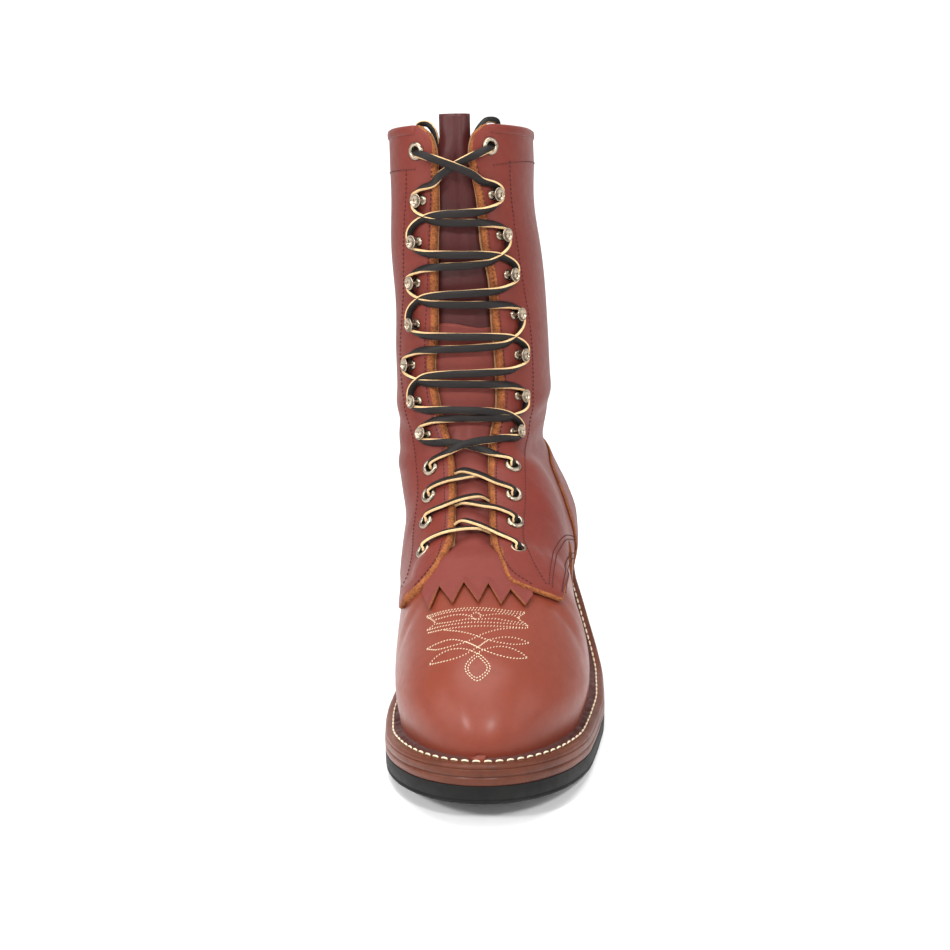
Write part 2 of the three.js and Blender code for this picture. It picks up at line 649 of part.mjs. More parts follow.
// Bars of the tread run across the forepart inside a plain rim.
let outsole = outsoleBlank.subtract(behindBreast);
for (let y = TOE + TREAD_RIM * 2.4; y < -0.34 * SOLE_LENGTH; y += TREAD_PITCH) {
  const [lateral, medial] = outline(y + TREAD_BAR / 2, TREAD_RIM);
  const middle = (lateral + medial) / 2;
  const half = (lateral - medial) / 2;
  for (const side of [-1, 1]) {
    const groove = new THREE.BoxGeometry(half - TREAD_RIM / 4, TREAD_BAR / 2, TREAD_DEPTH * 4);
    groove.rotateZ(side * 0.28);
    groove.translate(
      middle + (side * (half + TREAD_RIM / 4)) / 2, y + TREAD_BAR / 2, tread(y) - TREAD_DEPTH,
    );
    outsole = outsole.subtract(solid(groove));
  }
}
add("outsole", outsole, material(0x1b1a1a, 0.6));

// The heel narrows on its way down and its back runs forward.
function heelBlock(high, low) {
  const rings = [];
  const stations = 16;
  for (const z of [high, low]) {
    const down = 1 - z / HEEL_SEAT;
    const back = HEEL_BACK - 0.6 - HEEL_UNDERCUT * down;
    const loop = [];
    const halfAt = (y, medial) => {
      const [l, m] = outline(mix(HEEL_BACK, HEEL_BREAST, (back - y) / (back - HEEL_BREAST)), 0);
      return medial ? m + HEEL_TAPER * down * (m / -40) : l - HEEL_TAPER * down * (l / 40);
    };
    for (let i = 0; i < stations; i++) {
      const t = 1 - Math.cos((Math.PI * i) / (2 * (stations - 1)));
      const y = mix(back, HEEL_BREAST, t);
      loop.push([y, halfAt(y, false), halfAt(y, true)]);
    }
    const place = (y, x) => new THREE.Vector3(x, y, z);
    const right = loop.map(([y, l]) => place(y, Math.max(l, 0.3)));
    const left = loop.map(([y, , m]) => place(y, Math.min(m, -0.3))).reverse();
    rings.push([...right, ...left]);
  }
  return loft(rings);
}
const stackTop = (y) => under(y) - GAP;
const aboveStack = sidePrism(
  [
    ...alongSole(stackTop),
    [TOE - SPARE, HEEL_SEAT * 2],
    [HEEL_BACK + SPARE, HEEL_SEAT * 2],
  ],
  -WIDE, WIDE,
);
const heelStack = heelBlock(HEEL_SEAT + 8, HEEL_LIFT + GAP).subtract(aboveStack);
add("heel_stack", heelStack, material(0x6e4228, 0.5));
add("heel_lift", heelBlock(HEEL_LIFT, 0), material(0x1b1a1a, 0.65));

// Upper
const belowSeat = sidePrism(
  [
    ...alongSole((y) => seat(y) + GAP),
    [TOE - SPARE, UNDER * 2],
    [HEEL_BACK + SPARE, UNDER * 2],
  ],
  -WIDE, WIDE,
);
const RINGS = 36;
const AROUND = 44;
const INNER_RINGS = 12;
const INNER_AROUND = 24;
const SPLIT = -SHAFT_WIDTH * 0.18; // the quarters meet at this x below the throat
const FAR = 2; // times the boot's size, for the outer corners of a region

const aboveRim = sidePrism(
  [
    [-SOLE_LENGTH, rim(-SOLE_LENGTH)],
    [HEEL_BACK * FAR, rim(HEEL_BACK * FAR)],
    [HEEL_BACK * FAR, SHAFT_HEIGHT * FAR],
    [-SOLE_LENGTH, SHAFT_HEIGHT * FAR],
  ],
  -WIDE, WIDE,
);

// What lies behind a quarter's front edge, with room left for a neighbour in front of it.
function quarterRegion(side, room = 0) {
  const heart = new THREE.Vector2(-0.33 * SOLE_LENGTH, 0.27 * SHAFT_HEIGHT);
  const edge = sidePoints(QUARTER_EDGE[side]).map(([y, z]) => {
    const p = new THREE.Vector2(y, z);
    const away = p.clone().sub(heart).setLength(room);
    return p.add(away).toArray();
  });
  const region = [
    ...edge,
    [edge[edge.length - 1][0], UNDER * FAR],
    [HEEL_BACK * FAR, UNDER * FAR],
    [HEEL_BACK * FAR, SHAFT_HEIGHT * FAR],
    [edge[0][0], SHAFT_HEIGHT * FAR],
  ];
  return side === "lateral"
    ? sidePrism(region, SPLIT - 1, WIDE)
    : sidePrism(region, -WIDE, SPLIT + 1);
}
const bothQuarters = (room) => quarterRegion("lateral", room).add(quarterRegion("medial", room));
const quarters = lastSolid(QUARTER, RINGS, AROUND).intersect(bothQuarters(0));
const FLANGE_END = -0.19 * SOLE_LENGTH;
const flange = slab(
  FLANGE_END, (y) => seat(y) + FLANGE, (y) => seat(y),
  [
    { down: 0, inset: 0.7 },
    { down: 1, inset: 0.5 },
  ],
);
const cavity = lastSolid(-WALL, INNER_RINGS, INNER_AROUND);

// A strip of the front from one place of the front line to another, between two edges in x.
// low and high are its offsets from the last, as functions of the place.
function frontStrip(from, to, rows, columns, edges, low, high) {
  const grid = (offset) =>
    spread(rows, from, to).map((on) => {
      const [a, b] = edges(on);
      return spread(columns, a, b).map((x) => front(x, on, offset(on)));
    });
  return sheet(grid(high), grid(low));
}
const throatEdges = (on, inset = 0) => [
  SHAFT_WIDTH * throatRow("medial", on) + inset,
  SHAFT_WIDTH * throatRow("lateral", on) - inset,
];
const THROAT_FOOT = THROAT_ROWS[0].on;
const throatCut = frontStrip(
  THROAT_FOOT, 1.06, 30, 3, (on) => throatEdges(on), () => -WALL - 5, () => QUARTER + 5,
);

const FREE = 1.1; // room under the metal parts in the hollow of the ankle
const SNUG = 0.4; // and elsewhere
const HOLLOW_ROWS = 5;
const sink = (place) => (place.row < HOLLOW_ROWS ? 0 : SNUG - FREE);
const hardware = [];
LACING_ROWS.forEach((row, i) => {
  for (const side of ["medial", "lateral"]) {
    const on = frontLine.onAt(row[side + "Up"] * SHAFT_HEIGHT);
    const x = row[side] * SHAFT_WIDTH;
    const skin = frontAtHeight(x, row[side + "Up"] * SHAFT_HEIGHT);
    hardware.push({ row: i, side, kind: row.kind, on, x, skin, normal: lastNormal(skin).normalize() });
  }
});
// A point of the front by its x and its height.
function frontAtHeight(x, z) {
  let outer = -SOLE_LENGTH;
  let inner = -SHAFT_DEPTH * 0.3;
  for (let n = 0; n < 30; n++) {
    const half = (outer + inner) / 2;
    if (lastField(x, half, z) > 0) outer = half;
    else inner = half;
  }
  return new THREE.Vector3(x, inner, z);
}
// The place on the last's surface nearest to a point, and the surface's direction there.
function settled(point) {
  const skin = point.clone();
  for (let n = 0; n < 8; n++) {
    const slope = lastNormal(skin);
    const size = slope.length() / (2 * STEP);
    skin.addScaledVector(slope.normalize(), -lastField(skin.x, skin.y, skin.z) / size);
  }
  return { skin, normal: lastNormal(skin).normalize() };
}
// A turned piece stood on the surface: its own +Y becomes the surface's normal.
function seated(geometry, place, offset) {
  const turn = new THREE.Quaternion().setFromUnitVectors(new THREE.Vector3(0, 1, 0), place.normal);
  geometry.applyQuaternion(turn);
  geometry.translate(...place.skin.clone().addScaledVector(place.normal, offset).toArray());
  return solid(geometry);
}
const BARREL_OUTER = EYELET_BORE / 2 + BARREL;
const lathe = (profile, sides) =>
  new THREE.LatheGeometry(profile.map(([r, h]) => new THREE.Vector2(r, h)), sides);

let upper = lastSolid(0, RINGS, AROUND).add(quarters).add(flange).subtract(cavity);
upper = upper.subtract(throatCut).subtract(belowSeat).subtract(aboveRim);
for (const place of hardware)
  if (place.kind === "eyelet") {
    const bore = new THREE.CylinderGeometry(BARREL_OUTER + SNUG, BARREL_OUTER + SNUG, 16, 10);
    upper = upper.subtract(seated(bore, place, 0));
  }
add("upper", upper, material(0x7a2f26, 0.42));

// Counter cover
const counterRegion = sidePrism(
  [
    ...sidePoints(COUNTER_EDGE),
    [-COUNTER_EDGE[COUNTER_EDGE.length - 1].out * SOLE_LENGTH, UNDER],
    [HEEL_BACK * FAR, UNDER],
  ],
  -WIDE, WIDE,
);
const counterCover = lastSolid(QUARTER + 1.5 * GAP + COVER, RINGS, AROUND)
  .subtract(lastSolid(QUARTER + 1.5 * GAP, RINGS, AROUND))
  .intersect(counterRegion)
  .subtract(belowSeat);
add("counter_cover", counterCover, material(0x74291f, 0.42));

// Insole
const insoleTop = sidePrism(
  [
    ...alongSole((y) => seat(y) + GAP + INSOLE),
    [TOE - SPARE, SHAFT_HEIGHT * FAR],
    [HEEL_BACK + SPARE, SHAFT_HEIGHT * FAR],
  ],
  -WIDE, WIDE,
);
const insole = lastSolid(-WALL - 4 * GAP, 8, INNER_AROUND)
  .subtract(insoleTop)
  .subtract(belowSeat);
add("insole", insole, material(0xa9794f, 0.7));

// Tongue: behind the facings from the throat's foot to above the rim
const TONGUE_SIDE = 8; // how far it reaches behind each facing
const TONGUE_TOP = 1 + TONGUE_RISE / (SHAFT_HEIGHT * 0.98);
const tongueOver = -WALL - 4 * GAP;
const tongue = frontStrip(
  THROAT_FOOT + 0.012, TONGUE_TOP, 18, 6,
  (on) => {
    const [a, b] = throatEdges(Math.min(on, 0.96));
    return [a - TONGUE_SIDE, b + TONGUE_SIDE];
  },
  () => tongueOver - TONGUE, () => tongueOver,
);
add("tongue", tongue, material(0x54211d, 0.35));

// Kiltie: over the vamp with its fringe, then down into the throat between the facings
const KILTIE_LIFT = 3 * GAP; // how far it lies over the vamp
const kiltieOver = (on) => mix(KILTIE_LIFT + SHEET, -GAP, ease(0, KILTIE_DIP, on - KILTIE_FOOT - 0.02));
const fringeColumns = spread(33, 0, FRINGE_ROWS.length - 1).map((i) => {
  const a = FRINGE_ROWS[Math.floor(i)];
  const b = FRINGE_ROWS[Math.min(Math.floor(i) + 1, FRINGE_ROWS.length - 1)];
  return { x: SHAFT_WIDTH * mix(a.x, b.x, i % 1), on: mix(a.on, b.on, i % 1) };
});
const fringeGrid = (offset) =>
  spread(3, 0, 1).map((t) =>
    fringeColumns.map(({ x, on }) => front(x, mix(on, KILTIE_FOOT + 0.04, t), offset)),
  );
const kiltieInset = 4 * GAP;
let kiltie = sheet(fringeGrid(KILTIE_LIFT + SHEET), fringeGrid(KILTIE_LIFT))
  .subtract(bothQuarters(5 * GAP))
  .add(
    frontStrip(
      KILTIE_FOOT, KILTIE_TOP, 18, 4, (on) => throatEdges(on, kiltieInset),
      (on) => kiltieOver(on) - SHEET + 0.1, (on) => kiltieOver(on) - 0.1,
    ),
  );
for (const place of hardware)
  if (place.kind === "eyelet") {
    const room = EYELET_OUTER / 2 + GAP;
    kiltie = kiltie.subtract(seated(new THREE.CylinderGeometry(room, room, 16, 10), place, 0));
  }
add("kiltie", kiltie, material(0x8c3a2c, 0.6));

// Eyelets and hooks
const brass = () => material(0x9c8460, 0.35, 0.9);
const onTop = QUARTER + FREE;
const eyeletShape = [
  [EYELET_BORE / 2, -WALL + FREE],
  [BARREL_OUTER, -WALL + FREE],
  [BARREL_OUTER, onTop],
  [EYELET_OUTER / 2, onTop],
  [EYELET_OUTER / 2 - 0.4, onTop + EYELET_RISE * 0.6],
  [EYELET_OUTER / 2 - 1.3, onTop + EYELET_RISE],
  [EYELET_BORE / 2, onTop + EYELET_RISE * 0.5],
  [EYELET_BORE / 2, -WALL + FREE],
];
const hookTop = onTop + HOOK_RISE;
const baseShape = [
  [0, onTop],
  [HOOK_BASE / 2, onTop],
  [HOOK_BASE / 2 - 0.4, onTop + 0.9],
  [0, onTop + 1.1],
];
const headShape = [
  [0, onTop + 0.2],
  [HOOK_POST / 2, onTop + 0.2],
  [HOOK_POST / 2, hookTop - 1.7],
  [HOOK_HEAD / 2, hookTop - 1.3],
  [HOOK_HEAD / 2 - 0.3, hookTop - 0.4],
  [0, hookTop],
];
const HOOK_REACH = 3; // the head stands this far outside its base
// The direction along the surface that points away from the throat.
function outward(place) {
  const sign = place.side === "lateral" ? 1 : -1;
  const away = new THREE.Vector3(sign, 0, 0);
  return away.addScaledVector(place.normal, -away.dot(place.normal)).normalize();
}
const sideName = { medial: "left", lateral: "right" };
const counts = {};
for (const place of hardware) {
  const key = place.kind + "_" + sideName[place.side];
  counts[key] = (counts[key] || 0) + 1;
  const name = key + "_" + counts[key];
  if (place.kind === "eyelet") {
    add(name, seated(lathe(eyeletShape, 8), place, sink(place)), brass());
  } else {
    const inner = settled(place.skin.clone().addScaledVector(outward(place), -HOOK_REACH));
    const base = seated(lathe(baseShape, 6), inner, sink(place));
    add(name, base.add(seated(lathe(headShape, 6), place, sink(place))), brass());
  }
}

// Lace: at each step up the throat two runs cross and are joined where they meet
const black = () => material(0x1c1817, 0.5);
const laceLow = LACE_THICK / 2;
const overFacing = QUARTER + 4 * GAP + laceLow;
const atHook = onTop + 1.25 + GAP + laceLow;
const inGap = (on) => kiltieOver(on) + GAP + 0.2 + laceLow;
// A flat ribbon along places of the front: x, place on the front line and offset.
function ribbon(path) {
  const middles = path.map(([x, on, offset]) => front(x, on, offset));
  const rings = middles.map((p, i) => {
    const before = middles[Math.max(i - 1, 0)];
    const after = middles[Math.min(i + 1, middles.length - 1)];
    const along = after.clone().sub(before).normalize();
    const up = lastNormal(p).normalize();
    const across = up.clone().cross(along).normalize().multiplyScalar(LACE_WIDTH / 2);
    up.crossVectors(along, across).normalize().multiplyScalar(laceLow);
    return [
      p.clone().add(across).add(up),
      p.clone().sub(across).add(up),
      p.clone().sub(across).sub(up),
      p.clone().add(across).sub(up),
    ];
  });
  return loft(rings);
}
const STEPS = 8;
const bridge = 1.2; // how far a run stands off the hollow of the ankle
const pair = (row) => hardware.filter((place) => place.row === row);
function crossing(row) {
  const runs = ["medial", "lateral"].map((side) => {
    const a = pair(row).find((place) => place.side === side);
    const b = pair(row + 1).find((place) => place.side !== side);
    const sign = side === "medial" ? 1 : -1;
    const clearOf = (place) =>
      place.kind === "eyelet" ? EYELET_OUTER / 2 + 1 : HOOK_POST / 2 + 2 * GAP;
    const slide = (place, way) => (place.kind === "hook" ? way * 0.011 : 0);
    const startX = a.x + sign * clearOf(a);
    const startOn = a.on + slide(a, 1);
    // towards an eyelet the lace dives behind the facing, towards a hook it stays outside
    const dives = b.kind === "eyelet" && a.kind === "eyelet";
    const [edgeMedial, edgeLateral] = throatEdges(b.on, 3.4);
    const endX = dives ? (side === "medial" ? edgeLateral : edgeMedial) : b.x - sign * clearOf(b);
    const endOn = dives ? mix(a.on, b.on, 0.8) : b.on - slide(b, 1);
    const over = (row + (side === "medial" ? 1 : 0)) % 2 ? LACE_THICK * 0.75 : 0;
    const levelAt = (place) => (place.kind === "hook" ? atHook + sink(place) : overFacing);
    const startLevel = levelAt(a);
    const endLevel = dives ? inGap(b.on) : levelAt(b);
    return ribbon(
      spread(STEPS, 0, 1).map((t) => {
        const on = mix(startOn, endOn, smooth(t));
        const bump = (over + (dives ? 0 : bridge)) * Math.sin(Math.PI * clamp((t - 0.15) / 0.7, 0, 1));
        const level = mix(startLevel, endLevel, dives ? ease(0.5, 1, t) : smooth(t));
        return [mix(startX, endX, t), on, Math.max(level, inGap(on)) + bump];
      }),
    );
  });
  return runs[0].add(runs[1]);
}
for (let row = 0; row + 1 < LACING_ROWS.length; row++)
  add("lace_cross_" + (row + 1), crossing(row), black());

// Lace ends: each passes the top eyelet inwards, arches over the rim and hangs inside
const CORD = 3;
const END_DROP = 22;
for (const place of hardware.filter((one) => one.row === LACING_ROWS.length - 1)) {
  const behind = (x, z) => frontAtHeight(x, z).addScaledVector(place.normal, -WALL - TONGUE - CORD - 1);
  const top = rim(place.skin.y);
  const sign = place.side === "lateral" ? 1 : -1;
  const route = [
    [place.x - sign * -4.5, top - END_DROP * 0.6, 0],
    [place.x - sign * -4, top - 6, 0],
    [place.x - sign * -2.5, top, 3.5],
    [place.x - sign * 1.5, top, 6],
    [place.x - sign * 5, top, 2.5],
    [place.x - sign * 6, top - 6, 0],
    [place.x - sign * 6, top - END_DROP, 0],
  ].map(([x, z, lift]) => behind(x, z).add(new THREE.Vector3(0, 0, lift)));
  const path = new THREE.CatmullRomCurve3(route);
  const section = new THREE.Shape();
  section.absarc(0, 0, CORD / 2, 0, Math.PI * 2);
  const cord = new THREE.ExtrudeGeometry(section, {
    steps: 12,
    curveSegments: 4,
    extrudePath: path,
    bevelEnabled: false,
  });
  add("lace_end_" + sideName[place.side], solid(cord), black());
}

export default boot;
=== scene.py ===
# %% [markdown]
# # A left packer boot
# This lesson draws a tall lace-up work boot over its CAD model. The boot has a stitched ledge round
# the sole, an underslung heel, a fringed kiltie, eyelets below and speed hooks above. Lengths in the
# tables and functions are millimetres or shares of named sizes, and meshes are made in metres. +Z is
# up, the toe points to -Y and +X is the outer side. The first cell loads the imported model, so that
# each new piece can take the place of a CAD node.

import math

import bpy
import numpy as np
from mathutils import Matrix, Vector


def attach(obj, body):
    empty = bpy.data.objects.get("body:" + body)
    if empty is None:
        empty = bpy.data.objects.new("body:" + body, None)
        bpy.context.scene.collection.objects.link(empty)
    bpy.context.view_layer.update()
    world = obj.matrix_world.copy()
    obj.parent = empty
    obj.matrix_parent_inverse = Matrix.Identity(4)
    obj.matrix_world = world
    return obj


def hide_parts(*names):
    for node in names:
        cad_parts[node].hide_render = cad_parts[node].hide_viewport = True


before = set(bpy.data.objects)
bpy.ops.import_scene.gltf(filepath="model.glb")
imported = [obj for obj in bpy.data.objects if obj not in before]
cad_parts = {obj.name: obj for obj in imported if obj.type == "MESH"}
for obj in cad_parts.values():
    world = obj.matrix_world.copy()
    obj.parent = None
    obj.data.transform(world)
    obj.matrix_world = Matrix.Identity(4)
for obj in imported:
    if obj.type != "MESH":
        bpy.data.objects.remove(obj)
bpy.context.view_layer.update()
MM = 0.001
rng = np.random.default_rng(7)
print(len(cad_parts), "CAD nodes")

# %% [markdown]
# ## Camera
# The photo looks at the toe from a little above head height of the boot, from close by, so the sole
# looks wide and the collar narrow. The camera could be placed by eye. Here its place, its turn and
# its focal length were solved from the sole's outline, the collar and the row of hooks, and they are
# written as a pitch, a yaw and a roll.

# %% Camera
FOCAL_PX = 1230
PICTURE_PX = 950
EYE = np.array([26.0, -748.7, 285.0])
PITCH, YAW, ROLL = np.radians([13.8, 3.5, 1.2])


def camera_axes():
    """Right, up and forward of the camera: a level heading turned by yaw, tipped down, then rolled."""
    heading = np.array([-math.sin(YAW), math.cos(YAW), 0])
    level = np.array([math.cos(YAW), math.sin(YAW), 0])
    forward = heading * math.cos(PITCH) - np.array([0, 0, math.sin(PITCH)])
    above = np.cross(level, forward)
    right = level * math.cos(ROLL) - above * math.sin(ROLL)
    up = above * math.cos(ROLL) + level * math.sin(ROLL)
    return right, up, forward


right, up, forward = camera_axes()
camera_data = bpy.data.cameras.new("camera")
camera_data.sensor_width = 36
camera_data.lens = 36 * FOCAL_PX / PICTURE_PX
camera_data.clip_start = 0.01
camera_data.clip_end = 50
camera = bpy.data.objects.new("camera", camera_data)
bpy.context.scene.collection.objects.link(camera)
turn = Matrix([list(right), list(up), list(-forward)]).transposed()
camera.matrix_world = Matrix.Translation(Vector(EYE * MM)) @ turn.to_4x4()
bpy.context.scene.camera = camera
print("lens", round(camera_data.lens, 2), "mm")

# %% [markdown]
# ## The last
# A boot's shape comes from its last, a solid foot and leg. It could be modelled with a subdivision
# cage. Here it is a field, below zero inside, made of an arch along the foot and an oval up the leg
# that melt together, and each table row gives the section at one place. Every leather layer then
# follows from one surface and an offset, so that the layers can't pass through each other.

# %% Sizes and tables
SOLE_LENGTH = 302
BALL_WIDTH = 113
HEEL_WIDTH = 83
HEEL_BACK = 44
OUTSOLE = 9.1
SHANK_OUTSOLE = 5.5
MIDSOLE = 8
TOE_SPRING = 14.2
HEEL_SEAT = 43.5
HEEL_LIFT = 8
HEEL_BREAST = -26
HEEL_UNDERCUT = 9
HEEL_TAPER = 3.5
LEDGE = 8.2
LEDGE_TOE = 10
INSTEP_HEIGHT = 136
SHAFT_HEIGHT = 308
SHAFT_WIDTH = 80
SHAFT_DEPTH = 114
SHAFT_LEAN = 22.6
RIM_SLOPE = 0.045
RIM_MIDDLE = -20
WALL = 2.4
QUARTER = 2
FLANGE = 2.2
GAP = 0.3
TOE = HEEL_BACK - SOLE_LENGTH

# share of the length from the heel, how much of the width follows the ball, lateral and medial
# shares of the width, shares of the climb to the heel seat and of the toe spring
SOLE_ROWS = np.array([
    [0, 0, 0.47, 0.47, 1, 0],
    [0.113, 0, 0.5, 0.487, 0.985, 0],
    [0.212, 0, 0.507, 0.482, 0.9, 0],
    [0.295, 0.3, 0.484, 0.438, 0.72, 0],
    [0.377, 0.6, 0.487, 0.425, 0.42, 0],
    [0.47, 0.85, 0.497, 0.447, 0.12, 0],
    [0.545, 1, 0.492, 0.469, 0, 0],
    [0.642, 1, 0.485, 0.501, 0, 0],
    [0.7, 1, 0.463, 0.507, 0, 0.02],
    [0.791, 1, 0.42, 0.487, 0, 0.17],
    [0.874, 1, 0.372, 0.451, 0, 0.46],
    [1, 1, 0.323, 0.407, 0, 1],
])
# share of the length from the heel, lateral and medial half widths, ridge height, lean
FOOT_ROWS = np.array([
    [0.146, 0.318, 0.363, 0.72, 0.35],
    [0.278, 0.327, 0.469, 0.912, 0.71],
    [0.377, 0.336, 0.518, 1, 0.8],
    [0.444, 0.35, 0.513, 0.941, 0.752],
    [0.493, 0.367, 0.504, 0.846, 0.708],
    [0.56, 0.389, 0.5, 0.746, 0.642],
    [0.642, 0.42, 0.487, 0.665, 0.531],
    [0.742, 0.416, 0.465, 0.588, 0.42],
    [0.825, 0.376, 0.438, 0.526, 0.354],
    [0.907, 0.319, 0.398, 0.463, 0.288],
    [0.95, 0.283, 0.367, 0.419, 0.243],
    [1, 0.248, 0.327, 0.353, 0.221],
])
# share of the shaft's height, centre, lateral and medial half widths, front, back, twist
LEG_ROWS = np.array([
    [0.13, 0.022, 0.444, 0.438, 0.7, 0.333, 0.02],
    [0.169, 0.022, 0.469, 0.462, 0.737, 0.351, 0.02],
    [0.214, 0.022, 0.498, 0.49, 0.772, 0.368, 0.03],
    [0.26, 0.066, 0.5, 0.512, 0.789, 0.368, 0.07],
    [0.299, 0.221, 0.485, 0.544, 0.789, 0.355, 0.13],
    [0.338, 0.465, 0.478, 0.55, 0.772, 0.338, 0.15],
    [0.38, 0.708, 0.481, 0.525, 0.746, 0.32, 0.14],
    [0.429, 0.863, 0.5, 0.491, 0.715, 0.307, 0.12],
    [0.513, 0.863, 0.56, 0.508, 0.667, 0.307, 0.09],
    [0.649, 0.885, 0.55, 0.515, 0.632, 0.325, 0.05],
    [0.779, 0.942, 0.518, 0.504, 0.618, 0.346, 0.05],
    [0.893, 0.973, 0.489, 0.49, 0.61, 0.364, 0.05],
    [1.013, 1, 0.485, 0.485, 0.605, 0.377, 0.05],
])
LEG_FOOT, LEG_TOP = LEG_ROWS[0, 0], LEG_ROWS[-1, 0]
# the front line: distance out as a share of the length, height as a share of the shaft's
FRONT_ROWS = np.array([
    [0.805, 0.162], [0.762, 0.2], [0.68, 0.235], [0.596, 0.263], [0.497, 0.299], [0.414, 0.337],
    [0.348, 0.383], [0.3, 0.429], [0.265, 0.49], [0.247, 0.56], [0.238, 0.649], [0.233, 0.779],
    [0.23, 0.893], [0.228, 1.08],
])
# place on the front line, medial and lateral edge of the throat in shares of the shaft's width
THROAT_ROWS = np.array([
    [0.29, -0.25, -0.1], [0.315, -0.292, -0.044], [0.37, -0.299, -0.06], [0.42, -0.304, -0.069],
    [0.467, -0.312, -0.082], [0.515, -0.345, -0.078], [0.588, -0.437, -0.024],
    [0.638, -0.464, -0.028], [0.7, -0.435, -0.051], [0.763, -0.432, -0.064], [0.83, -0.418, -0.12],
    [0.884, -0.404, -0.135], [0.96, -0.409, -0.189], [0.985, -0.44, -0.165], [1, -0.52, -0.09],
    [1.03, -0.6, 0],
])
THROAT_FOOT = 0.29
# the lacing from the lowest pair up: a hook or an eyelet, then x and height, medial and lateral
LACING_ROWS = [
    (0, -0.482, 0.294, 0.122, 0.303), (0, -0.481, 0.33, 0.098, 0.334),
    (0, -0.476, 0.367, 0.086, 0.37), (0, -0.474, 0.41, 0.074, 0.409),
    (1, -0.53, 0.463, 0.085, 0.46), (1, -0.585, 0.521, 0.118, 0.527),
    (1, -0.62, 0.586, 0.118, 0.601), (1, -0.59, 0.661, 0.096, 0.674),
    (1, -0.58, 0.736, 0.056, 0.745), (1, -0.555, 0.808, 0.01, 0.816),
    (1, -0.525, 0.88, -0.03, 0.887), (0, -0.535, 0.964, -0.064, 0.97),
]
# edges seen from the side: out as a share of the length, up as a share of the shaft's height
QUARTER_EDGE = {
    1: [[0.475, 0.33], [0.476, 0.307], [0.5265, 0.285], [0.5454, 0.275], [0.552, 0.261],
        [0.537, 0.241], [0.532, 0.235], [0.487, 0.247], [0.384, 0.252], [0.3, 0.262],
        [0.22, 0.258], [0.195, 0.22], [0.19, 0.1]],
    -1: [[0.471, 0.33], [0.472, 0.304], [0.497, 0.288], [0.513, 0.273], [0.518, 0.255],
         [0.5, 0.231], [0.475, 0.209], [0.426, 0.19], [0.36, 0.2], [0.28, 0.215],
         [0.22, 0.218], [0.195, 0.19], [0.19, 0.1]],
}
COUNTER_EDGE = [[-0.3, 0.4], [-0.1, 0.398], [-0.03, 0.388], [0.03, 0.37], [0.08, 0.345],
                [0.118, 0.315], [0.142, 0.28], [0.144, 0.262], [0.134, 0.235], [0.112, 0.18], [0.1, 0.1]]
FRINGE_ROWS = np.array([
    [-0.455, 0.245], [-0.4, 0.201], [-0.351, 0.242], [-0.26, 0.198], [-0.203, 0.242],
    [-0.106, 0.197], [-0.052, 0.239], [0.031, 0.194], [0.085, 0.229], [0.174, 0.2],
    [0.215, 0.225],
])


# %% The field
def slopes(xs, ys):
    """Slopes of a cubic through the points that never overshoots: harmonic means of the rises."""
    rise = np.diff(ys) / np.diff(xs)
    a, b = rise[:-1], rise[1:]
    inner = np.where(a * b > 0, 2 * a * b / np.where(a + b == 0, 1, a + b), 0)
    return np.concatenate([[rise[0]], inner, [rise[-1]]])


def curve(xs, ys, at):
    """The cubic through the points (xs, ys), read at at, and level beyond the ends."""
    xs, ys = np.asarray(xs, float), np.asarray(ys, float)
    x = np.clip(at, xs[0], xs[-1])
    i = np.clip(np.searchsorted(xs, x, side="right") - 1, 0, len(xs) - 2)
    m = slopes(xs, ys)
    h = xs[i + 1] - xs[i]
    t = (x - xs[i]) / h
    level = ys[i] * (1 + 2 * t) * (1 - t) ** 2 + ys[i + 1] * t * t * (3 - 2 * t)
    return level + h * (m[i] * t * (1 - t) ** 2 - m[i + 1] * t * t * (1 - t))


def dense(rows, column, low, high):
    """One column of a table as a function that reads a fine list instead of the cubic."""
    xs = np.linspace(low, high, 1500)
    ys = curve(rows[:, 0], rows[:, column], xs)
    return lambda at: np.interp(at, xs, ys)


sole_row = [dense(SOLE_ROWS, k, 0, 1) for k in range(1, 6)]
foot_row = [dense(FOOT_ROWS, k, 0, 1) for k in range(1, 5)]
leg_row = [dense(LEG_ROWS, k, 0, LEG_TOP) for k in range(1, 7)]


def share(y):
    return (HEEL_BACK - y) / SOLE_LENGTH


def mix(a, b, t):
    return a + (b - a) * t


def ease(start, end, x):
    """0 before start, 1 after end and a smooth step between."""
    t = np.clip((x - start) / (end - start), 0, 1)
    return t * t * (3 - 2 * t)


def bell(x, width):
    """A hump of height 1 at 0."""
    return np.exp(-((x / width) ** 2))


def ends(y, front, back, front_round, back_round, power=2.1):
    """1 along the middle of a length and 0 at each tip, closing as a rounded end does."""
    f = np.clip((front + front_round - y) / front_round, 0, 1)
    b = np.clip((y - back + back_round) / back_round, 0, 1)
    return (1 - f**power) ** (1 / power) * (1 - b**power) ** (1 / power)


def sole_width(y):
    return mix(HEEL_WIDTH, BALL_WIDTH, sole_row[0](share(y)))


def sole_lateral(y):
    return sole_width(y) * sole_row[1](share(y))


def sole_medial(y):
    return -sole_width(y) * sole_row[2](share(y))


def sole_centre(y):
    return -BALL_WIDTH * 0.044 * ease(0.5, 1.1, share(y))


def outline(y, inset=0.0):
    """The lateral and medial edge of the sole at y, drawn in by inset all round."""
    e = ends(y, TOE + inset, HEEL_BACK - inset, 0.185 * SOLE_LENGTH, 0.139 * SOLE_LENGTH)
    c = sole_centre(y)
    return c + (sole_lateral(y) - inset - c) * e, c + (sole_medial(y) + inset - c) * e


def seat(y):
    """Height of the midsole's top."""
    up = sole_row[3](share(y)) * (HEEL_SEAT - OUTSOLE)
    return OUTSOLE + MIDSOLE + up + sole_row[4](share(y)) * TOE_SPRING


FEATHER_TOE = TOE + LEDGE_TOE
FOOT_BACK = HEEL_BACK - 14


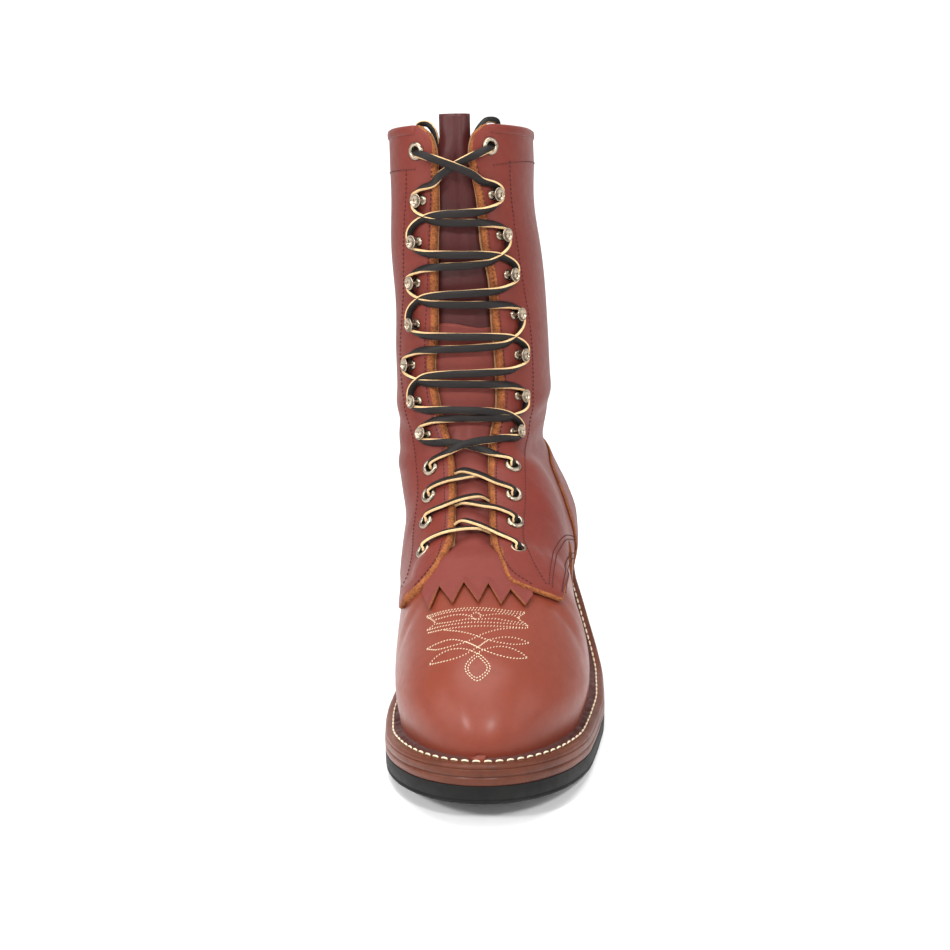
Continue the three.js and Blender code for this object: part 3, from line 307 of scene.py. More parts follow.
def foot_field(x, y, z):
    """|side / half width|^n + (height / ridge)^m = 1 in each section across the foot."""
    s, c, base = share(y), sole_centre(y), seat(y) + FLANGE
    wide = ends(y, FEATHER_TOE, FOOT_BACK, 0.192 * SOLE_LENGTH, 45)
    high = ends(y, FEATHER_TOE, FOOT_BACK, 0.113 * SOLE_LENGTH, 30, 2.3)
    h = np.maximum(INSTEP_HEIGHT * foot_row[2](s) - base, 4) * np.maximum(high, 0.03)
    up = z - base
    t = ease(0, 22, up)
    lateral = mix(sole_lateral(y) - LEDGE, BALL_WIDTH * foot_row[0](s), t)
    medial = mix(sole_medial(y) + LEDGE, -BALL_WIDTH * foot_row[1](s), t)
    q = np.clip(up / h, 0, 6)
    middle = c + (-SHAFT_LEAN * foot_row[3](s) - c) * np.minimum(q, 1.2) ** 1.3
    w_lateral = np.maximum(c + (lateral - c) * wide - middle, 2)
    w_medial = np.maximum(middle - c - (medial - c) * wide, 2)
    w = np.where(x > middle, w_lateral, w_medial)
    square = 1 - ease(0.61, 0.81, s)
    n, m = 2.3 + 0.4 * square, 2.15 + 0.35 * square
    f = ((np.abs(x - middle) / w) ** n + q**m) ** (2 / (n + m)) - 1
    past = np.maximum(np.maximum(FEATHER_TOE - y, y - FOOT_BACK), 0)
    return f * np.clip(h, 25, 35) + np.where(past > 0, past * 2 + 0.4, 0)


def leg_field(x, y, z):
    """An oval at each height, half ovals on each side of a middle that twists."""
    s = np.clip(z / SHAFT_HEIGHT, LEG_FOOT, LEG_TOP)
    front, back = -SHAFT_DEPTH * leg_row[3](s), SHAFT_DEPTH * leg_row[4](s)
    middle = (front + back) / 2 + 4
    c = -SHAFT_LEAN * leg_row[0](s) + leg_row[5](s) * (y - middle)
    a = SHAFT_WIDTH * np.where(x > c, leg_row[1](s), leg_row[2](s))
    b = np.where(y < middle, middle - front, back - middle)
    n = 2.25
    f = ((np.abs(x - c) / a) ** n + (np.abs(y - middle) / b) ** n) ** (1 / n) - 1
    return f * np.minimum(a, b)


BLEND = 10


def field(x, y, z):
    """Foot and leg joined with a fillet."""
    a, b = foot_field(x, y, z), leg_field(x, y, z)
    h = np.clip(0.5 + 0.5 * (b - a) / BLEND, 0, 1)
    return mix(b, a, h) - BLEND * h * (1 - h)


def normals(p, step=0.25):
    """Unit directions in which the field grows."""
    p = np.asarray(p, float)
    x, y, z = p[..., 0], p[..., 1], p[..., 2]
    g = np.stack([
        field(x + step, y, z) - field(x - step, y, z),
        field(x, y + step, z) - field(x, y - step, z),
        field(x, y, z + step) - field(x, y, z - step),
    ], -1)
    return g / np.maximum(np.linalg.norm(g, axis=-1, keepdims=True), 1e-9)


def cross(outside, inside, rounds=26):
    """The surface's point between points outside and points inside, by halving."""
    outside, inside = np.broadcast_arrays(outside, inside)
    a, b = outside.astype(float), inside.astype(float)
    for _ in range(rounds):
        half = (a + b) / 2
        out = (field(half[..., 0], half[..., 1], half[..., 2]) > 0)[..., None]
        a, b = np.where(out, half, a), np.where(out, b, half)
    return (a + b) / 2


def rim(y):
    return SHAFT_HEIGHT - RIM_SLOPE * (y - RIM_MIDDLE)


# %% [markdown]
# ## Charts of the upper
# Leather is cut flat and pulled over the last, so each panel's edge is a line on one surface. A
# sculpted mesh would need its edges moved by hand. Here each half of the boot is one grid whose rows
# are cut by planes: upright ones over the toe, a fan about a point in front of the instep, and level
# ones up the shaft. A panel is that grid cut off along a line, with all triangles on the line split.

# %% Grid of the last
PIVOT = np.array([-150.0, 205.0])
ROWS_TOE, ROWS_FAN, ROWS_SHAFT = 84, 140, 70
ROWS_HEEL = 24  # extra rows where the planes pass the heel's lower corner
COLUMNS = 116


def row_planes():
    """Start point and direction, in the side view, of each row's plane from the toe to the rim."""
    w = np.linspace(0, 1, ROWS_TOE, endpoint=False)
    y = FEATHER_TOE + 0.15 + (PIVOT[0] - FEATHER_TOE - 0.15) * w**1.6
    starts = [np.stack([y, np.full_like(y, PIVOT[1])], 1)]
    ways = [np.stack([0 * y, 0 * y - 1], 1)]
    a = np.linspace(0, math.pi / 2, ROWS_FAN, endpoint=False)
    a = np.sort(np.concatenate([a, np.radians(np.linspace(48.6, 52.6, ROWS_HEEL))]))
    starts.append(np.tile(PIVOT, (len(a), 1)))
    ways.append(np.stack([np.sin(a), -np.cos(a)], 1))
    v = np.linspace(0, 1, ROWS_SHAFT)
    starts.append(np.stack([0 * v + PIVOT[0], mix(PIVOT[1], rim(PIVOT[0]), v)], 1))
    slope = -RIM_SLOPE * v
    ways.append(np.stack([1 / np.hypot(1, slope), slope / np.hypot(1, slope)], 1))
    return np.concatenate(starts), np.concatenate(ways)


def front_x(y):
    """x of the front line, which leans over with the shaft."""
    return -SHAFT_LEAN * mix(0.25, 0.92, ease(-230, -80, y))


def back_x(y, z):
    """x of the line down the middle of the back, and of the foot's middle at the sole."""
    s = np.clip(z / SHAFT_HEIGHT, LEG_FOOT, LEG_TOP)
    middle = SHAFT_DEPTH * (leg_row[4](s) - leg_row[3](s)) / 2 + 4
    return -SHAFT_LEAN * leg_row[0](s) + leg_row[5](s) * (y - middle) * ease(48, 70, z)


def even(points, count):
    """The same lines with count points each, evenly spaced along each line."""
    step = np.linalg.norm(np.diff(points, axis=1), axis=2)
    run = np.concatenate([np.zeros((len(points), 1)), np.cumsum(step, 1)], 1)
    run /= run[:, -1:]
    at = np.linspace(0, 1, count)
    return np.stack(
        [[np.interp(at, r, p[:, k]) for k in range(3)] for r, p in zip(run, points)]
    ).transpose(0, 2, 1)


def half_grid(side):
    """Points of one half of the last, rows by columns, from the front line round to the back seam
    or down to the feather line. In each row's plane the point at turn u lies on a ray of an ellipse
    about a middle point, from the front (u = 0) to the row's end, found by halving."""
    start, way = row_planes()
    reach = np.linspace(0, 300, 1201)
    y = start[:, :1] + way[:, :1] * reach
    z = start[:, 1:] + way[:, 1:] * reach
    spine = mix(front_x(y), back_x(y, z), ease(-90, 20, y))
    inside = (field(spine, y, z) < 0) & (z > seat(y) + FLANGE * 0.4)
    near = reach[inside.argmax(1)] - 0.25
    far = reach[inside.shape[1] - 1 - inside[:, ::-1].argmax(1)] + 0.25
    half = np.maximum((far - near) / 2, 0.8)
    mid = (near + far) / 2
    at = lambda r: (start[:, 0] + way[:, 0] * r, start[:, 1] + way[:, 1] * r)
    yf, ye, ze = at(near)[0], *at(far)
    to_sole = ze < seat(ye) + FLANGE + 1
    xf, xb = front_x(yf), back_x(ye, ze)
    xm, shear = (xf + xb) / 2, (xb - xf) / 2
    wide = np.stack([xb + side * 80, ye, ze + 0.3], 1)
    narrow = np.stack([xb, ye, ze + 0.3], 1)
    reach_x = np.maximum(side * (cross(wide, narrow)[:, 0] - xb), 0.5)
    scale = mix(44, np.maximum(reach_x, 8), ease(-200, -246, ye))
    end_turn = np.where(to_sole, math.pi - np.arctan(reach_x / scale), math.pi)
    turn = end_turn[:, None] * np.linspace(0, 1, COLUMNS + 40)
    out_x = side * np.sin(turn) * scale[:, None] - np.cos(turn) * shear[:, None]
    along = -np.cos(turn) * half[:, None]
    ray = np.stack([out_x, along * way[:, :1], along * way[:, 1:]], 2)
    centre = np.stack([xm, *at(mid)], 1)
    inner = np.broadcast_to(centre[:, None], ray.shape)
    return even(cross(inner + ray * 2.4, inner), COLUMNS)


grids = {side: half_grid(side) for side in (-1, 1)}

# %% [markdown]
# ## Cutting panels and finding places
# These helpers turn a grid into triangles, cut it along a line and hang the cut edge's thickness
# below it, as a knife leaves it on real leather. Two charts name places on the boot: by x and the
# distance along the front line for all that belongs to the lacing, and by the side view for the rest.

# %% Helpers
def grid_triangles(rows, columns, first=0):
    k = first + np.arange(rows * columns).reshape(rows, columns)
    a, b, c, d = k[:-1, :-1], k[:-1, 1:], k[1:, 1:], k[1:, :-1]
    return np.concatenate([np.stack([a, b, c], 2), np.stack([a, c, d], 2)], 1).reshape(-1, 3)


def facing(points, tris, directions):
    """The triangles, turned so that they face along the directions at their corners."""
    p = points[tris]
    face = np.cross(p[:, 1] - p[:, 0], p[:, 2] - p[:, 0])
    bad = (face * directions[tris].sum(1)).sum(1) < 0
    return np.where(bad[:, None], tris[:, ::-1], tris)


def welded(points, tris, tolerance=1e-3):
    """Points that lie together become one, and triangles that lose an edge go."""
    _, first, same = np.unique(
        np.round(points / tolerance).astype(np.int64), axis=0, return_index=True, return_inverse=True
    )
    tris = same.reshape(-1)[tris]
    good = (tris[:, 0] != tris[:, 1]) & (tris[:, 1] != tris[:, 2]) & (tris[:, 0] != tris[:, 2])
    return first, tris[good]


def cut(tris, keep, values):
    """Keeps the part where keep > 0. Triangles on the line are split there. Returns the new values
    (one array per input array), the triangles and the line's edges in the kept side's direction."""
    inside = keep > 0
    count = inside[tris].sum(1)

    def turned(chosen, odd):
        at = (odd[chosen].argmax(1)[:, None] + np.arange(3)) % 3
        return np.take_along_axis(chosen, at, 1)

    one = turned(tris[count == 1], inside)
    two = turned(tris[count == 2], ~inside)
    ends_of = np.concatenate([one[:, [0, 1]], one[:, [0, 2]], two[:, [0, 1]], two[:, [0, 2]]])
    pairs, where = np.unique(np.sort(ends_of, 1), axis=0, return_inverse=True)
    fa, fb = keep[pairs[:, 0]], keep[pairs[:, 1]]
    t = np.clip(fa / (fa - fb), 0.001, 0.999)
    made = [
        np.concatenate(
            [v, mix(v[pairs[:, 0]], v[pairs[:, 1]], t.reshape((-1,) + (1,) * (v.ndim - 1)))]
        ) for v in values
    ]
    where = where.reshape(-1) + len(keep)
    n, m = len(one), len(two)
    ab1, ac1, ab2, ac2 = where[:n], where[n:2 * n], where[2 * n:2 * n + m], where[2 * n + m:]
    out = np.concatenate([
        tris[count == 3],
        np.stack([one[:, 0], ab1, ac1], 1),
        np.stack([ab2, two[:, 1], two[:, 2]], 1),
        np.stack([ab2, two[:, 2], ac2], 1),
    ])
    edges = np.concatenate([np.stack([ab1, ac1], 1), np.stack([ac2, ab2], 1)])
    return made, out, edges


def used(points, tris, *more):
    """Only the points that the triangles use."""
    keep, tris2 = np.unique(tris, return_inverse=True)
    return (points[keep], tris2.reshape(tris.shape), *[m[keep] for m in more])


def polygon_distance(y, z, corners):
    """Distance to a polygon's edge, above zero inside."""
    corners = np.asarray(corners, float)
    best = np.full(y.shape, 1e9)
    inside = np.zeros(y.shape, bool)
    for (y0, z0), (y1, z1) in zip(corners, np.roll(corners, -1, 0)):
        dy, dz = y1 - y0, z1 - z0
        t = np.clip(((y - y0) * dy + (z - z0) * dz) / (dy * dy + dz * dz + 1e-9), 0, 1)
        best = np.minimum(best, np.hypot(y - y0 - t * dy, z - z0 - t * dz))
        crosses = (z0 > z) != (z1 > z)
        inside ^= crosses & (y < (y1 - y0) * (z - z0) / (z1 - z0 + 1e-12) + y0)
    return np.where(inside, best, -best)


def smooth_line(corners, rounds=3):
    """A polyline with its corners cut off evenly, ends kept."""
    p = np.asarray(corners, float)
    for _ in range(rounds):
        a, b = p[:-1], p[1:]
        p = np.concatenate(
            [p[:1], np.stack([mix(a, b, 0.25), mix(a, b, 0.75)], 1).reshape(-1, p.shape[1]), p[-1:]]
        )
    return p


def side_line(rows):
    rows = np.asarray(rows, float)
    return np.stack([-rows[:, 0] * SOLE_LENGTH, rows[:, 1] * SHAFT_HEIGHT], 1)


front_points = side_line(FRONT_ROWS)
front_run = np.concatenate([[0], np.cumsum(np.linalg.norm(np.diff(front_points, axis=0), axis=1))])
RIM_RUN = float(curve(front_points[:, 1], front_run, rim(front_points[-1, 0])))
fine_on = np.linspace(0, front_run[-1], 3000)
fine_y, fine_z = curve(front_run, front_points[:, 0], fine_on), curve(front_run, front_points[:, 1], fine_on)


def front_at(on):
    return np.interp(on * RIM_RUN, fine_on, fine_y), np.interp(on * RIM_RUN, fine_on, fine_z)


def on_at(y, z):
    """Place along the front line of the point of it nearest to (y, z)."""
    flat = np.stack([np.ravel(y), np.ravel(z)], 1)
    step = 12
    coarse = np.stack([fine_y[::step], fine_z[::step]], 1)
    near = np.concatenate(
        [
            ((part[:, None] - coarse) ** 2).sum(2).argmin(1) for part in np.array_split(
                flat, max(1, len(flat) // 4000)
            )
        ]
    ) * step
    ty = np.interp(fine_on[near] + 1, fine_on, fine_y) - np.interp(fine_on[near] - 1, fine_on, fine_y)
    tz = np.interp(fine_on[near] + 1, fine_on, fine_z) - np.interp(fine_on[near] - 1, fine_on, fine_z)
    size = np.hypot(ty, tz)
    along = ((flat[:, 0] - fine_y[near]) * ty + (flat[:, 1] - fine_z[near]) * tz) / np.maximum(size, 1e-9)
    return ((fine_on[near] + np.clip(along, -8, 8)) / RIM_RUN).reshape(np.shape(y))


def throat_edges(on):
    return SHAFT_WIDTH * curve(
        THROAT_ROWS[:, 0], THROAT_ROWS[:, 1], on
    ), SHAFT_WIDTH * curve(THROAT_ROWS[:, 0], THROAT_ROWS[:, 2], on)


def from_throat(p):
    """Distance outside the throat's opening, below zero in it."""
    on = on_at(p[..., 1], p[..., 2])
    medial, lateral = throat_edges(on)
    gap = np.maximum(np.maximum(medial - p[..., 0], p[..., 0] - lateral), (THROAT_FOOT - on) * RIM_RUN)
    return np.where(p[..., 1] < -25, gap, 60)


def quarter_polygon(side):
    edge = smooth_line(side_line(QUARTER_EDGE[side]), 2)
    low = edge[-1, 0]
    return np.concatenate([edge, [[low, -80], [120, -80], [120, 600], [edge[0, 0], 600]]])


def creases(p):
    """Soft rise and fall of the leather in mm: the flex above the ball, the folds at the ankle and
    a slow wave up the shaft, each a trough with a ridge beside it."""
    x, y, z = p[..., 0], p[..., 1], p[..., 2]
    on = np.interp(z, fine_z, fine_on) / RIM_RUN
    side = np.tanh((x + 12) / 14)
    ankle = ease(-95, -60, y) * ease(20, -20, y)
    fold_a = -0.9 * bell(z - 146 - 0.12 * (y + 40), 6) + 0.6 * bell(z - 155 - 0.12 * (y + 40), 6)
    fold_b = -0.7 * bell(z - 128 + 0.1 * (y + 40), 5) + 0.5 * bell(z - 120 + 0.1 * (y + 40), 5)
    back = ease(0, 25, y) * (-0.8 * bell(z - 137, 7) + 0.6 * bell(z - 149, 7))
    wave = 0.5 * np.sin(z / 17 + 1.3 * side) * ease(165, 200, z) * ease(300, 280, z) * np.abs(side)
    wave += 0.35 * np.sin(z / 9.5 + 2 + y / 40) * ease(170, 200, z) * ease(300, 285, z)
    flex = (
        -0.5 * bell(y + 158 + 0.25 * np.abs(x + 8), 4) + 0.3 * bell(y + 150 + 0.2 * np.abs(x + 8), 4)
    ) * ease(22, 40, np.abs(x + 8)) * ease(45, 60, z)
    return (fold_a + fold_b) * ankle * np.abs(side) + back + wave + flex + 0 * on


def lift(p, offset):
    """Points of the last moved out to a layer's height, creases included."""
    return p + normals(p) * (np.asarray(offset, float) + creases(p))[..., None]


def front(x, on, offset):
    """Places of the front by x and place along the front line, at an offset from the last."""
    x, on, offset = np.broadcast_arrays(np.asarray(x, float), np.asarray(on, float), np.asarray(offset, float))
    y, z = front_at(on)
    y0, z0 = front_at(on - 0.01)
    y1, z1 = front_at(on + 0.01)
    size = np.hypot(y1 - y0, z1 - z0)
    ny, nz = -(z1 - z0) / size, (y1 - y0) / size
    base = np.stack([x, y, z], -1)
    way = np.stack([0 * x, ny, nz], -1)
    return lift(cross(base + 30 * way, base - 45 * way), offset)


def piece(name, points, faces, materials, nodes=(), slot=None, index=None, smooth=True):
    """A mesh object in the model's frame from points in mm, riding on the body and standing for nodes."""
    mesh = bpy.data.meshes.new(name)
    sides = faces.shape[1]
    mesh.vertices.add(len(points))
    mesh.vertices.foreach_set("co", (np.asarray(points) * MM).astype(np.float32).ravel())
    mesh.loops.add(faces.size)
    mesh.loops.foreach_set("vertex_index", faces.astype(np.int32).ravel())
    mesh.polygons.add(len(faces))
    mesh.polygons.foreach_set("loop_start", np.arange(0, faces.size, sides, dtype=np.int32))
    mesh.polygons.foreach_set("use_smooth", np.full(len(faces), smooth))
    for material in materials if isinstance(materials, (list, tuple)) else [materials]:
        mesh.materials.append(material)
    if index is not None:
        mesh.polygons.foreach_set("material_index", np.asarray(index, dtype=np.int32))
    mesh.update(calc_edges=True)
    mesh.validate()
    obj = bpy.data.objects.new(name, mesh)
    bpy.context.scene.collection.objects.link(obj)
    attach(obj, "root")
    if nodes:
        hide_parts(*nodes)
    return obj


# both halves as one surface: points, directions and triangles
base_points = np.concatenate([grids[-1].reshape(-1, 3), grids[1].reshape(-1, 3)])
rows_count = grids[1].shape[0]
base_tris = np.concatenate(
    [grid_triangles(rows_count, COLUMNS), grid_triangles(rows_count, COLUMNS, rows_count * COLUMNS)]
)
side_of = np.repeat([-1.0, 1.0], rows_count * COLUMNS)
first, base_tris = welded(base_points, base_tris)
base_points, side_of = base_points[first], side_of[first]
base_normals = normals(base_points)
base_tris = facing(base_points, base_tris, base_normals)
quarter_keep = np.where(
    side_of < 0,
    polygon_distance(base_points[:, 1], base_points[:, 2], quarter_polygon(-1)),
    polygon_distance(base_points[:, 1], base_points[:, 2], quarter_polygon(1)),
)
throat_keep = from_throat(base_points)

# %% [markdown]
# ## Materials
# Leather, rubber and metal are drawn with procedural shaders. A photo texture would look closer to
# one boot, but it can't be turned or relit. A small class wraps a shader socket, so that the maths
# of a material reads as ordinary expressions. Grain comes from noise in object coordinates, which
# are metres of the model, so that it doesn't stretch where a grid is dense.

# %% Shader helper
class Socket:
    """A shader socket with arithmetic. Numbers and sockets mix on either side of an operator."""

    def __init__(self, tree, out):
        self.tree, self.out = tree, out

    def math(self, kind, *others, clamp=False):
        node = self.tree.nodes.new("ShaderNodeMath")
        node.operation, node.use_clamp = kind, clamp
        for port, value in zip(node.inputs, (self, *others)):
            plug(self.tree, port, value)
        return Socket(self.tree, node.outputs[0])

    __add__ = __radd__ = lambda a, b: a.math("ADD", b)
    __mul__ = __rmul__ = lambda a, b: a.math("MULTIPLY", b)
    __sub__ = lambda a, b: a.math("SUBTRACT", b)
    __rsub__ = lambda a, b: (a * -1).math("ADD", b)
    __truediv__ = lambda a, b: a.math("DIVIDE", b)
    __pow__ = lambda a, b: a.math("POWER", b)
    __neg__ = lambda a: a * -1

    def ramp(self, low, high):
        """0 at low, 1 at high, smooth between."""
        node = self.tree.nodes.new("ShaderNodeMapRange")
        node.interpolation_type = "SMOOTHSTEP"
        plug(self.tree, node.inputs["Value"], self)
        node.inputs["From Min"].default_value, node.inputs["From Max"].default_value = min(low, high), max(low, high)
        result = Socket(self.tree, node.outputs["Result"])
        return result if high > low else 1 - result


def plug(tree, port, value):
    """Links a socket, or sets a constant."""
    if isinstance(value, Socket):
        tree.links.new(value.out, port)
    elif hasattr(
        port.default_value, "__len__"
    ) and hasattr(value, "__len__") and len(value) < len(port.default_value):
        port.default_value = (*value, 1)
    else:
        port.default_value = value


class Finish:
    """A material under construction: node() adds any node, mix() blends colours."""

    def __init__(self, name):
        self.material = bpy.data.materials.new(name)
        self.material.use_nodes = True
        self.tree = self.material.node_tree
        self.tree.nodes.clear()
        self.where = self.node("ShaderNodeNewGeometry", out="Position")

    def node(self, kind, settings=None, out=0, **values):
        node = self.tree.nodes.new(kind)
        for key, value in (settings or {}).items():
            setattr(node, key, value)
        for key, value in values.items():
            plug(self.tree, node.inputs[key.replace("_", " ")], value)
        return Socket(self.tree, node.outputs[out])

    def noise(self, scale, detail=2.0, roughness=0.5, stretch=None, out=0):
        place = self.where
        if stretch:
            place = self.node("ShaderNodeVectorMath", {"operation": "MULTIPLY"}, out=0)
            node = place.out.node
            plug(self.tree, node.inputs[0], self.where)
            node.inputs[1].default_value = stretch
        return self.node(
            "ShaderNodeTexNoise", Vector=place, Scale=scale, Detail=detail, Roughness=roughness, out=out
        )

    def cells(self, scale, feature="DISTANCE_TO_EDGE"):
        return self.node(
            "ShaderNodeTexVoronoi", {"feature": feature}, Vector=self.where, Scale=scale, out="Distance"
        )

    def mix(self, amount, a, b, kind="MIX"):
        node = self.tree.nodes.new("ShaderNodeMix")
        node.data_type, node.blend_type = "RGBA", kind
        for port, value in ((node.inputs["Factor"], amount), (node.inputs[6], a), (node.inputs[7], b)):
            plug(self.tree, port, value)
        return Socket(self.tree, node.outputs[2])

    def bump(self, height, strength=0.5, distance=0.0005):
        return self.node("ShaderNodeBump", Height=height, Strength=strength, Distance=distance)

    def done(self, **values):
        """Connects a principled surface, and gives the material."""
        surface = self.node("ShaderNodeBsdfPrincipled")
        shader = surface.out.node
        for key, value in values.items():
            plug(self.tree, shader.inputs[key.replace("_", " ")], value)
        output = self.tree.nodes.new("ShaderNodeOutputMaterial")
        self.tree.links.new(shader.outputs[0], output.inputs["Surface"])
        return self.material


def leather(name, color, dark, roughness=0.42, grain=0.25, coat=0.04, blotch=0.35, pores=1500, specular=0.16):
    """Waxed leather: slow blotches from the pull-up of the wax, fine pores and a thin gloss."""
    f = Finish(name)
    slow = f.noise(14, 3, 0.55).ramp(0.3, 0.75)
    fine = f.noise(230, 3, 0.6)
    tint = f.mix(slow * blotch + fine.ramp(0.3, 0.8) * 0.25, color, dark)
    pore = f.cells(pores).ramp(0.0, 0.22)
    height = pore * 0.6 + f.noise(2600, 2) * 0.4 + f.noise(300, 2) * 0.8
    rough = fine * 0.16 + slow * 0.08 + (roughness - 0.12)
    return f.done(
        Base_Color=tint, Roughness=rough, Specular_IOR_Level=specular, Coat_Weight=coat, Coat_Roughness=0.26,
        Normal=f.bump(height, grain, 0.00012),
    )


def suede(name, color, dark, strength=0.9):
    """A cut or raw face: short fibres, light on their tips and dark between."""
    f = Finish(name)
    fibre = f.noise(1100, 4, 0.65)
    patch = f.noise(160, 2)
    tint = f.mix(fibre.ramp(0.3, 0.68) * 0.75 + patch.ramp(0.35, 0.7) * 0.25, dark, color)
    return f.done(
        Base_Color=tint, Roughness=0.9, Specular_IOR_Level=0.15,
        Normal=f.bump(fibre + f.noise(420, 2) * 0.8, strength, 0.0006)
    )


def metal(name, color, roughness):
    f = Finish(name)
    worn = f.noise(420, 3).ramp(0.35, 0.7)
    return f.done(
        Base_Color=f.mix(
            worn, tuple(c * 0.72 for c in color), color
        ), Metallic=1.0, Roughness=worn * 0.14 + roughness,
        Normal=f.bump(f.noise(2400, 2), 0.15, 0.0001),
    )


upper_leather = leather("upper_leather", (0.15, 0.026, 0.0175), (0.095, 0.016, 0.012), 0.46)
vamp_leather = leather(
    "vamp_leather", (0.178, 0.036, 0.0195), (0.12, 0.024, 0.0145), 0.4, grain=0.18, blotch=0.3, coat=0.12
)
raw_edge = suede("raw_edge", (0.34, 0.116, 0.038), (0.11, 0.03, 0.012))
tongue_leather = leather(
    "tongue_leather", (0.062, 0.013, 0.012), (0.035, 0.008, 0.008), 0.34, coat=0.1, blotch=0.4, specular=0.2
)
kiltie_leather = leather(
    "kiltie_leather", (0.16, 0.034, 0.026), (0.12, 0.025, 0.02), 0.56, coat=0.03, grain=0.35
)
flange_leather = leather(
    "flange_leather", (0.085, 0.032, 0.028), (0.05, 0.018, 0.015), 0.55, coat=0.05, grain=0.6
)
edge_leather = leather(
    "edge_leather", (0.13, 0.031, 0.0125), (0.045, 0.0115, 0.0055), 0.42, coat=0.08, blotch=0.6, grain=0.4,
    specular=0.18
)
lining_leather = leather("lining_leather", (0.36, 0.2, 0.1), (0.28, 0.14, 0.07), 0.7, coat=0.0)
black_leather = leather(
    "black_leather", (0.014, 0.0115, 0.011), (0.009, 0.0075, 0.0075), 0.5, coat=0.0, specular=0.16
)
lace_edge = suede("lace_edge", (0.74, 0.52, 0.28), (0.5, 0.3, 0.13), 0.3)
brass = metal("brass", (0.4, 0.33, 0.25), 0.27)
rubber_finish = Finish("black_rubber")
black_rubber = rubber_finish.done(
    Base_Color=rubber_finish.mix(
        rubber_finish.noise(60, 4).ramp(0.35, 0.75), (0.007, 0.0068, 0.0066), (0.013, 0.0125, 0.012)
    ),
    Roughness=rubber_finish.noise(300, 3) * 0.2 + 0.5, Specular_IOR_Level=0.12, Normal=rubber_finish.bump(
        rubber_finish.noise(900, 3), 0.25, 0.0002
    ),
)
thread_finish = Finish("thread")
thread = thread_finish.done(
    Base_Color=(0.66, 0.56, 0.4), Roughness=0.8, Specular_IOR_Level=0.2,
    Normal=thread_finish.bump(thread_finish.noise(3500, 1), 0.4, 0.0001)
)
seam_finish = Finish("seam_thread")
seam_thread = seam_finish.done(
    Base_Color=(0.06, 0.014, 0.014), Roughness=0.7, Specular_IOR_Level=0.25,
    Normal=seam_finish.bump(seam_finish.noise(3500, 1), 0.4, 0.0001)
)

# %% [markdown]
# ## Vamp, quarters and counter cover
# The vamp lies on the last and the quarters lie on the vamp with a raw cut edge, which the photo
# shows as an orange line. The layers could be one thick mesh. Here each layer is its own skin with
# the cut edge hung below it, because the edge has another colour and casts its own small shadow.

# %% Skins of the upper
def edge_width(p):
    """How wide the cut edge shows: broad and skived along the throat and its flare, narrow on the sides."""
    x, y, z = p[..., 0], p[..., 1], p[..., 2]
    throat = 2.6 * ease(8, 3, from_throat(p)) * ease(0.99, 0.93, np.interp(z, fine_z, fine_on) / RIM_RUN)
    flare = ease(-128, -140, y) * mix(
        mix(3.6, 1.9, ease(-40, -20, -x)), mix(3.2, 0.6, ease(-4, 9, x)), ease(-14, -4, x)
    )
    return 0.5 + np.maximum(np.maximum(throat, 0), flare * ease(64, 74, z))


def over_kiltie(p):
    """The quarters ride up where the kiltie lies under their front edge."""
    near = np.where(p[..., 0] < -12, 0, 1)
    return 1.7 * ease(-122, -136, p[..., 1]) * ease(60, 72, p[..., 2]) * ease(18, 8, quarter_distance(p)) + 0 * near


def quarter_distance(p):
    left = polygon_distance(p[..., 1], p[..., 2], quarter_polygon(-1))
    right = polygon_distance(p[..., 1], p[..., 2], quarter_polygon(1))
    return np.where(p[..., 0] < -14, left, right)


def skin(
    name, keep, offset, material, profile, nodes=(), soft=0.35, extra=None, width=None, rough=0.1,
    slot="upper_leather"
):
    """One layer: the last's grid where keep > 0, moved out by offset and rounded off near its edge.
    Its cut edge is a strip whose profile holds (share of the width outwards, mm down)."""
    (p, n, k), tris, edges = cut(base_tris, keep, [base_points, base_normals, keep])
    n = n / np.linalg.norm(n, axis=1, keepdims=True)
    raised = 0 if extra is None else extra(p)
    top = p + n * (offset - soft * (1 - ease(0, 1.6, k)) + creases(p) + raised)[:, None]
    points, tris2 = used(top, tris)
    obj = piece(name, points, tris2, material, nodes, slot)
    along = top[edges[:, 1]] - top[edges[:, 0]]
    size = np.linalg.norm(along, axis=1)
    good = size > 0.05
    edges, along = edges[good], along[good]
    ids, place = np.unique(edges, return_inverse=True)
    place = place.reshape(edges.shape)
    sums = np.zeros((len(ids), 3))
    np.add.at(sums, place[:, 0], along)
    np.add.at(sums, place[:, 1], along)
    neighbour = np.zeros((len(ids), 3))
    for _ in range(3):
        neighbour[:] = sums
        np.add.at(neighbour, place[:, 0], sums[place[:, 1]] * 0.5)
        np.add.at(neighbour, place[:, 1], sums[place[:, 0]] * 0.5)
        sums = neighbour / 2
        neighbour = np.zeros((len(ids), 3))
    outward = np.cross(sums, n[ids])
    outward /= np.linalg.norm(outward, axis=1, keepdims=True) + 1e-9
    wide = edge_width(top[ids]) if width is None else np.full(len(ids), width)
    rings = []
    for j, (share_out, down) in enumerate(profile):
        fuzz = rough * rng.normal(size=(len(ids), 1)) * (0 < j < len(profile) - 1)
        rings.append(
            top[ids] + outward * (share_out * wide[:, None] + fuzz) - n[ids] * (
                down * mix(0.55, 1, ease(0.8, 2.6, wide))[:, None] + fuzz * 0.6
            )
        )
    m = len(ids)
    a, b = place[:, 0], place[:, 1]
    quads = np.concatenate(
        [np.stack([b + r * m, a + r * m, a + (r + 1) * m, b + (r + 1) * m], 1) for r in range(len(rings) - 1)]
    )
    edge = piece(name + "_edge", np.concatenate(rings), quads, raw_edge, nodes, slot)
    return obj, edge


def hole_keep(p, radius):
    """Distance outside the eyelets' holes."""
    far = np.full(len(p), 99.0)
    for spot in spots:
        if spot["kind"] == "eyelet":
            far = np.minimum(far, np.linalg.norm(p - spot["skin"], axis=1) - radius)
    return far


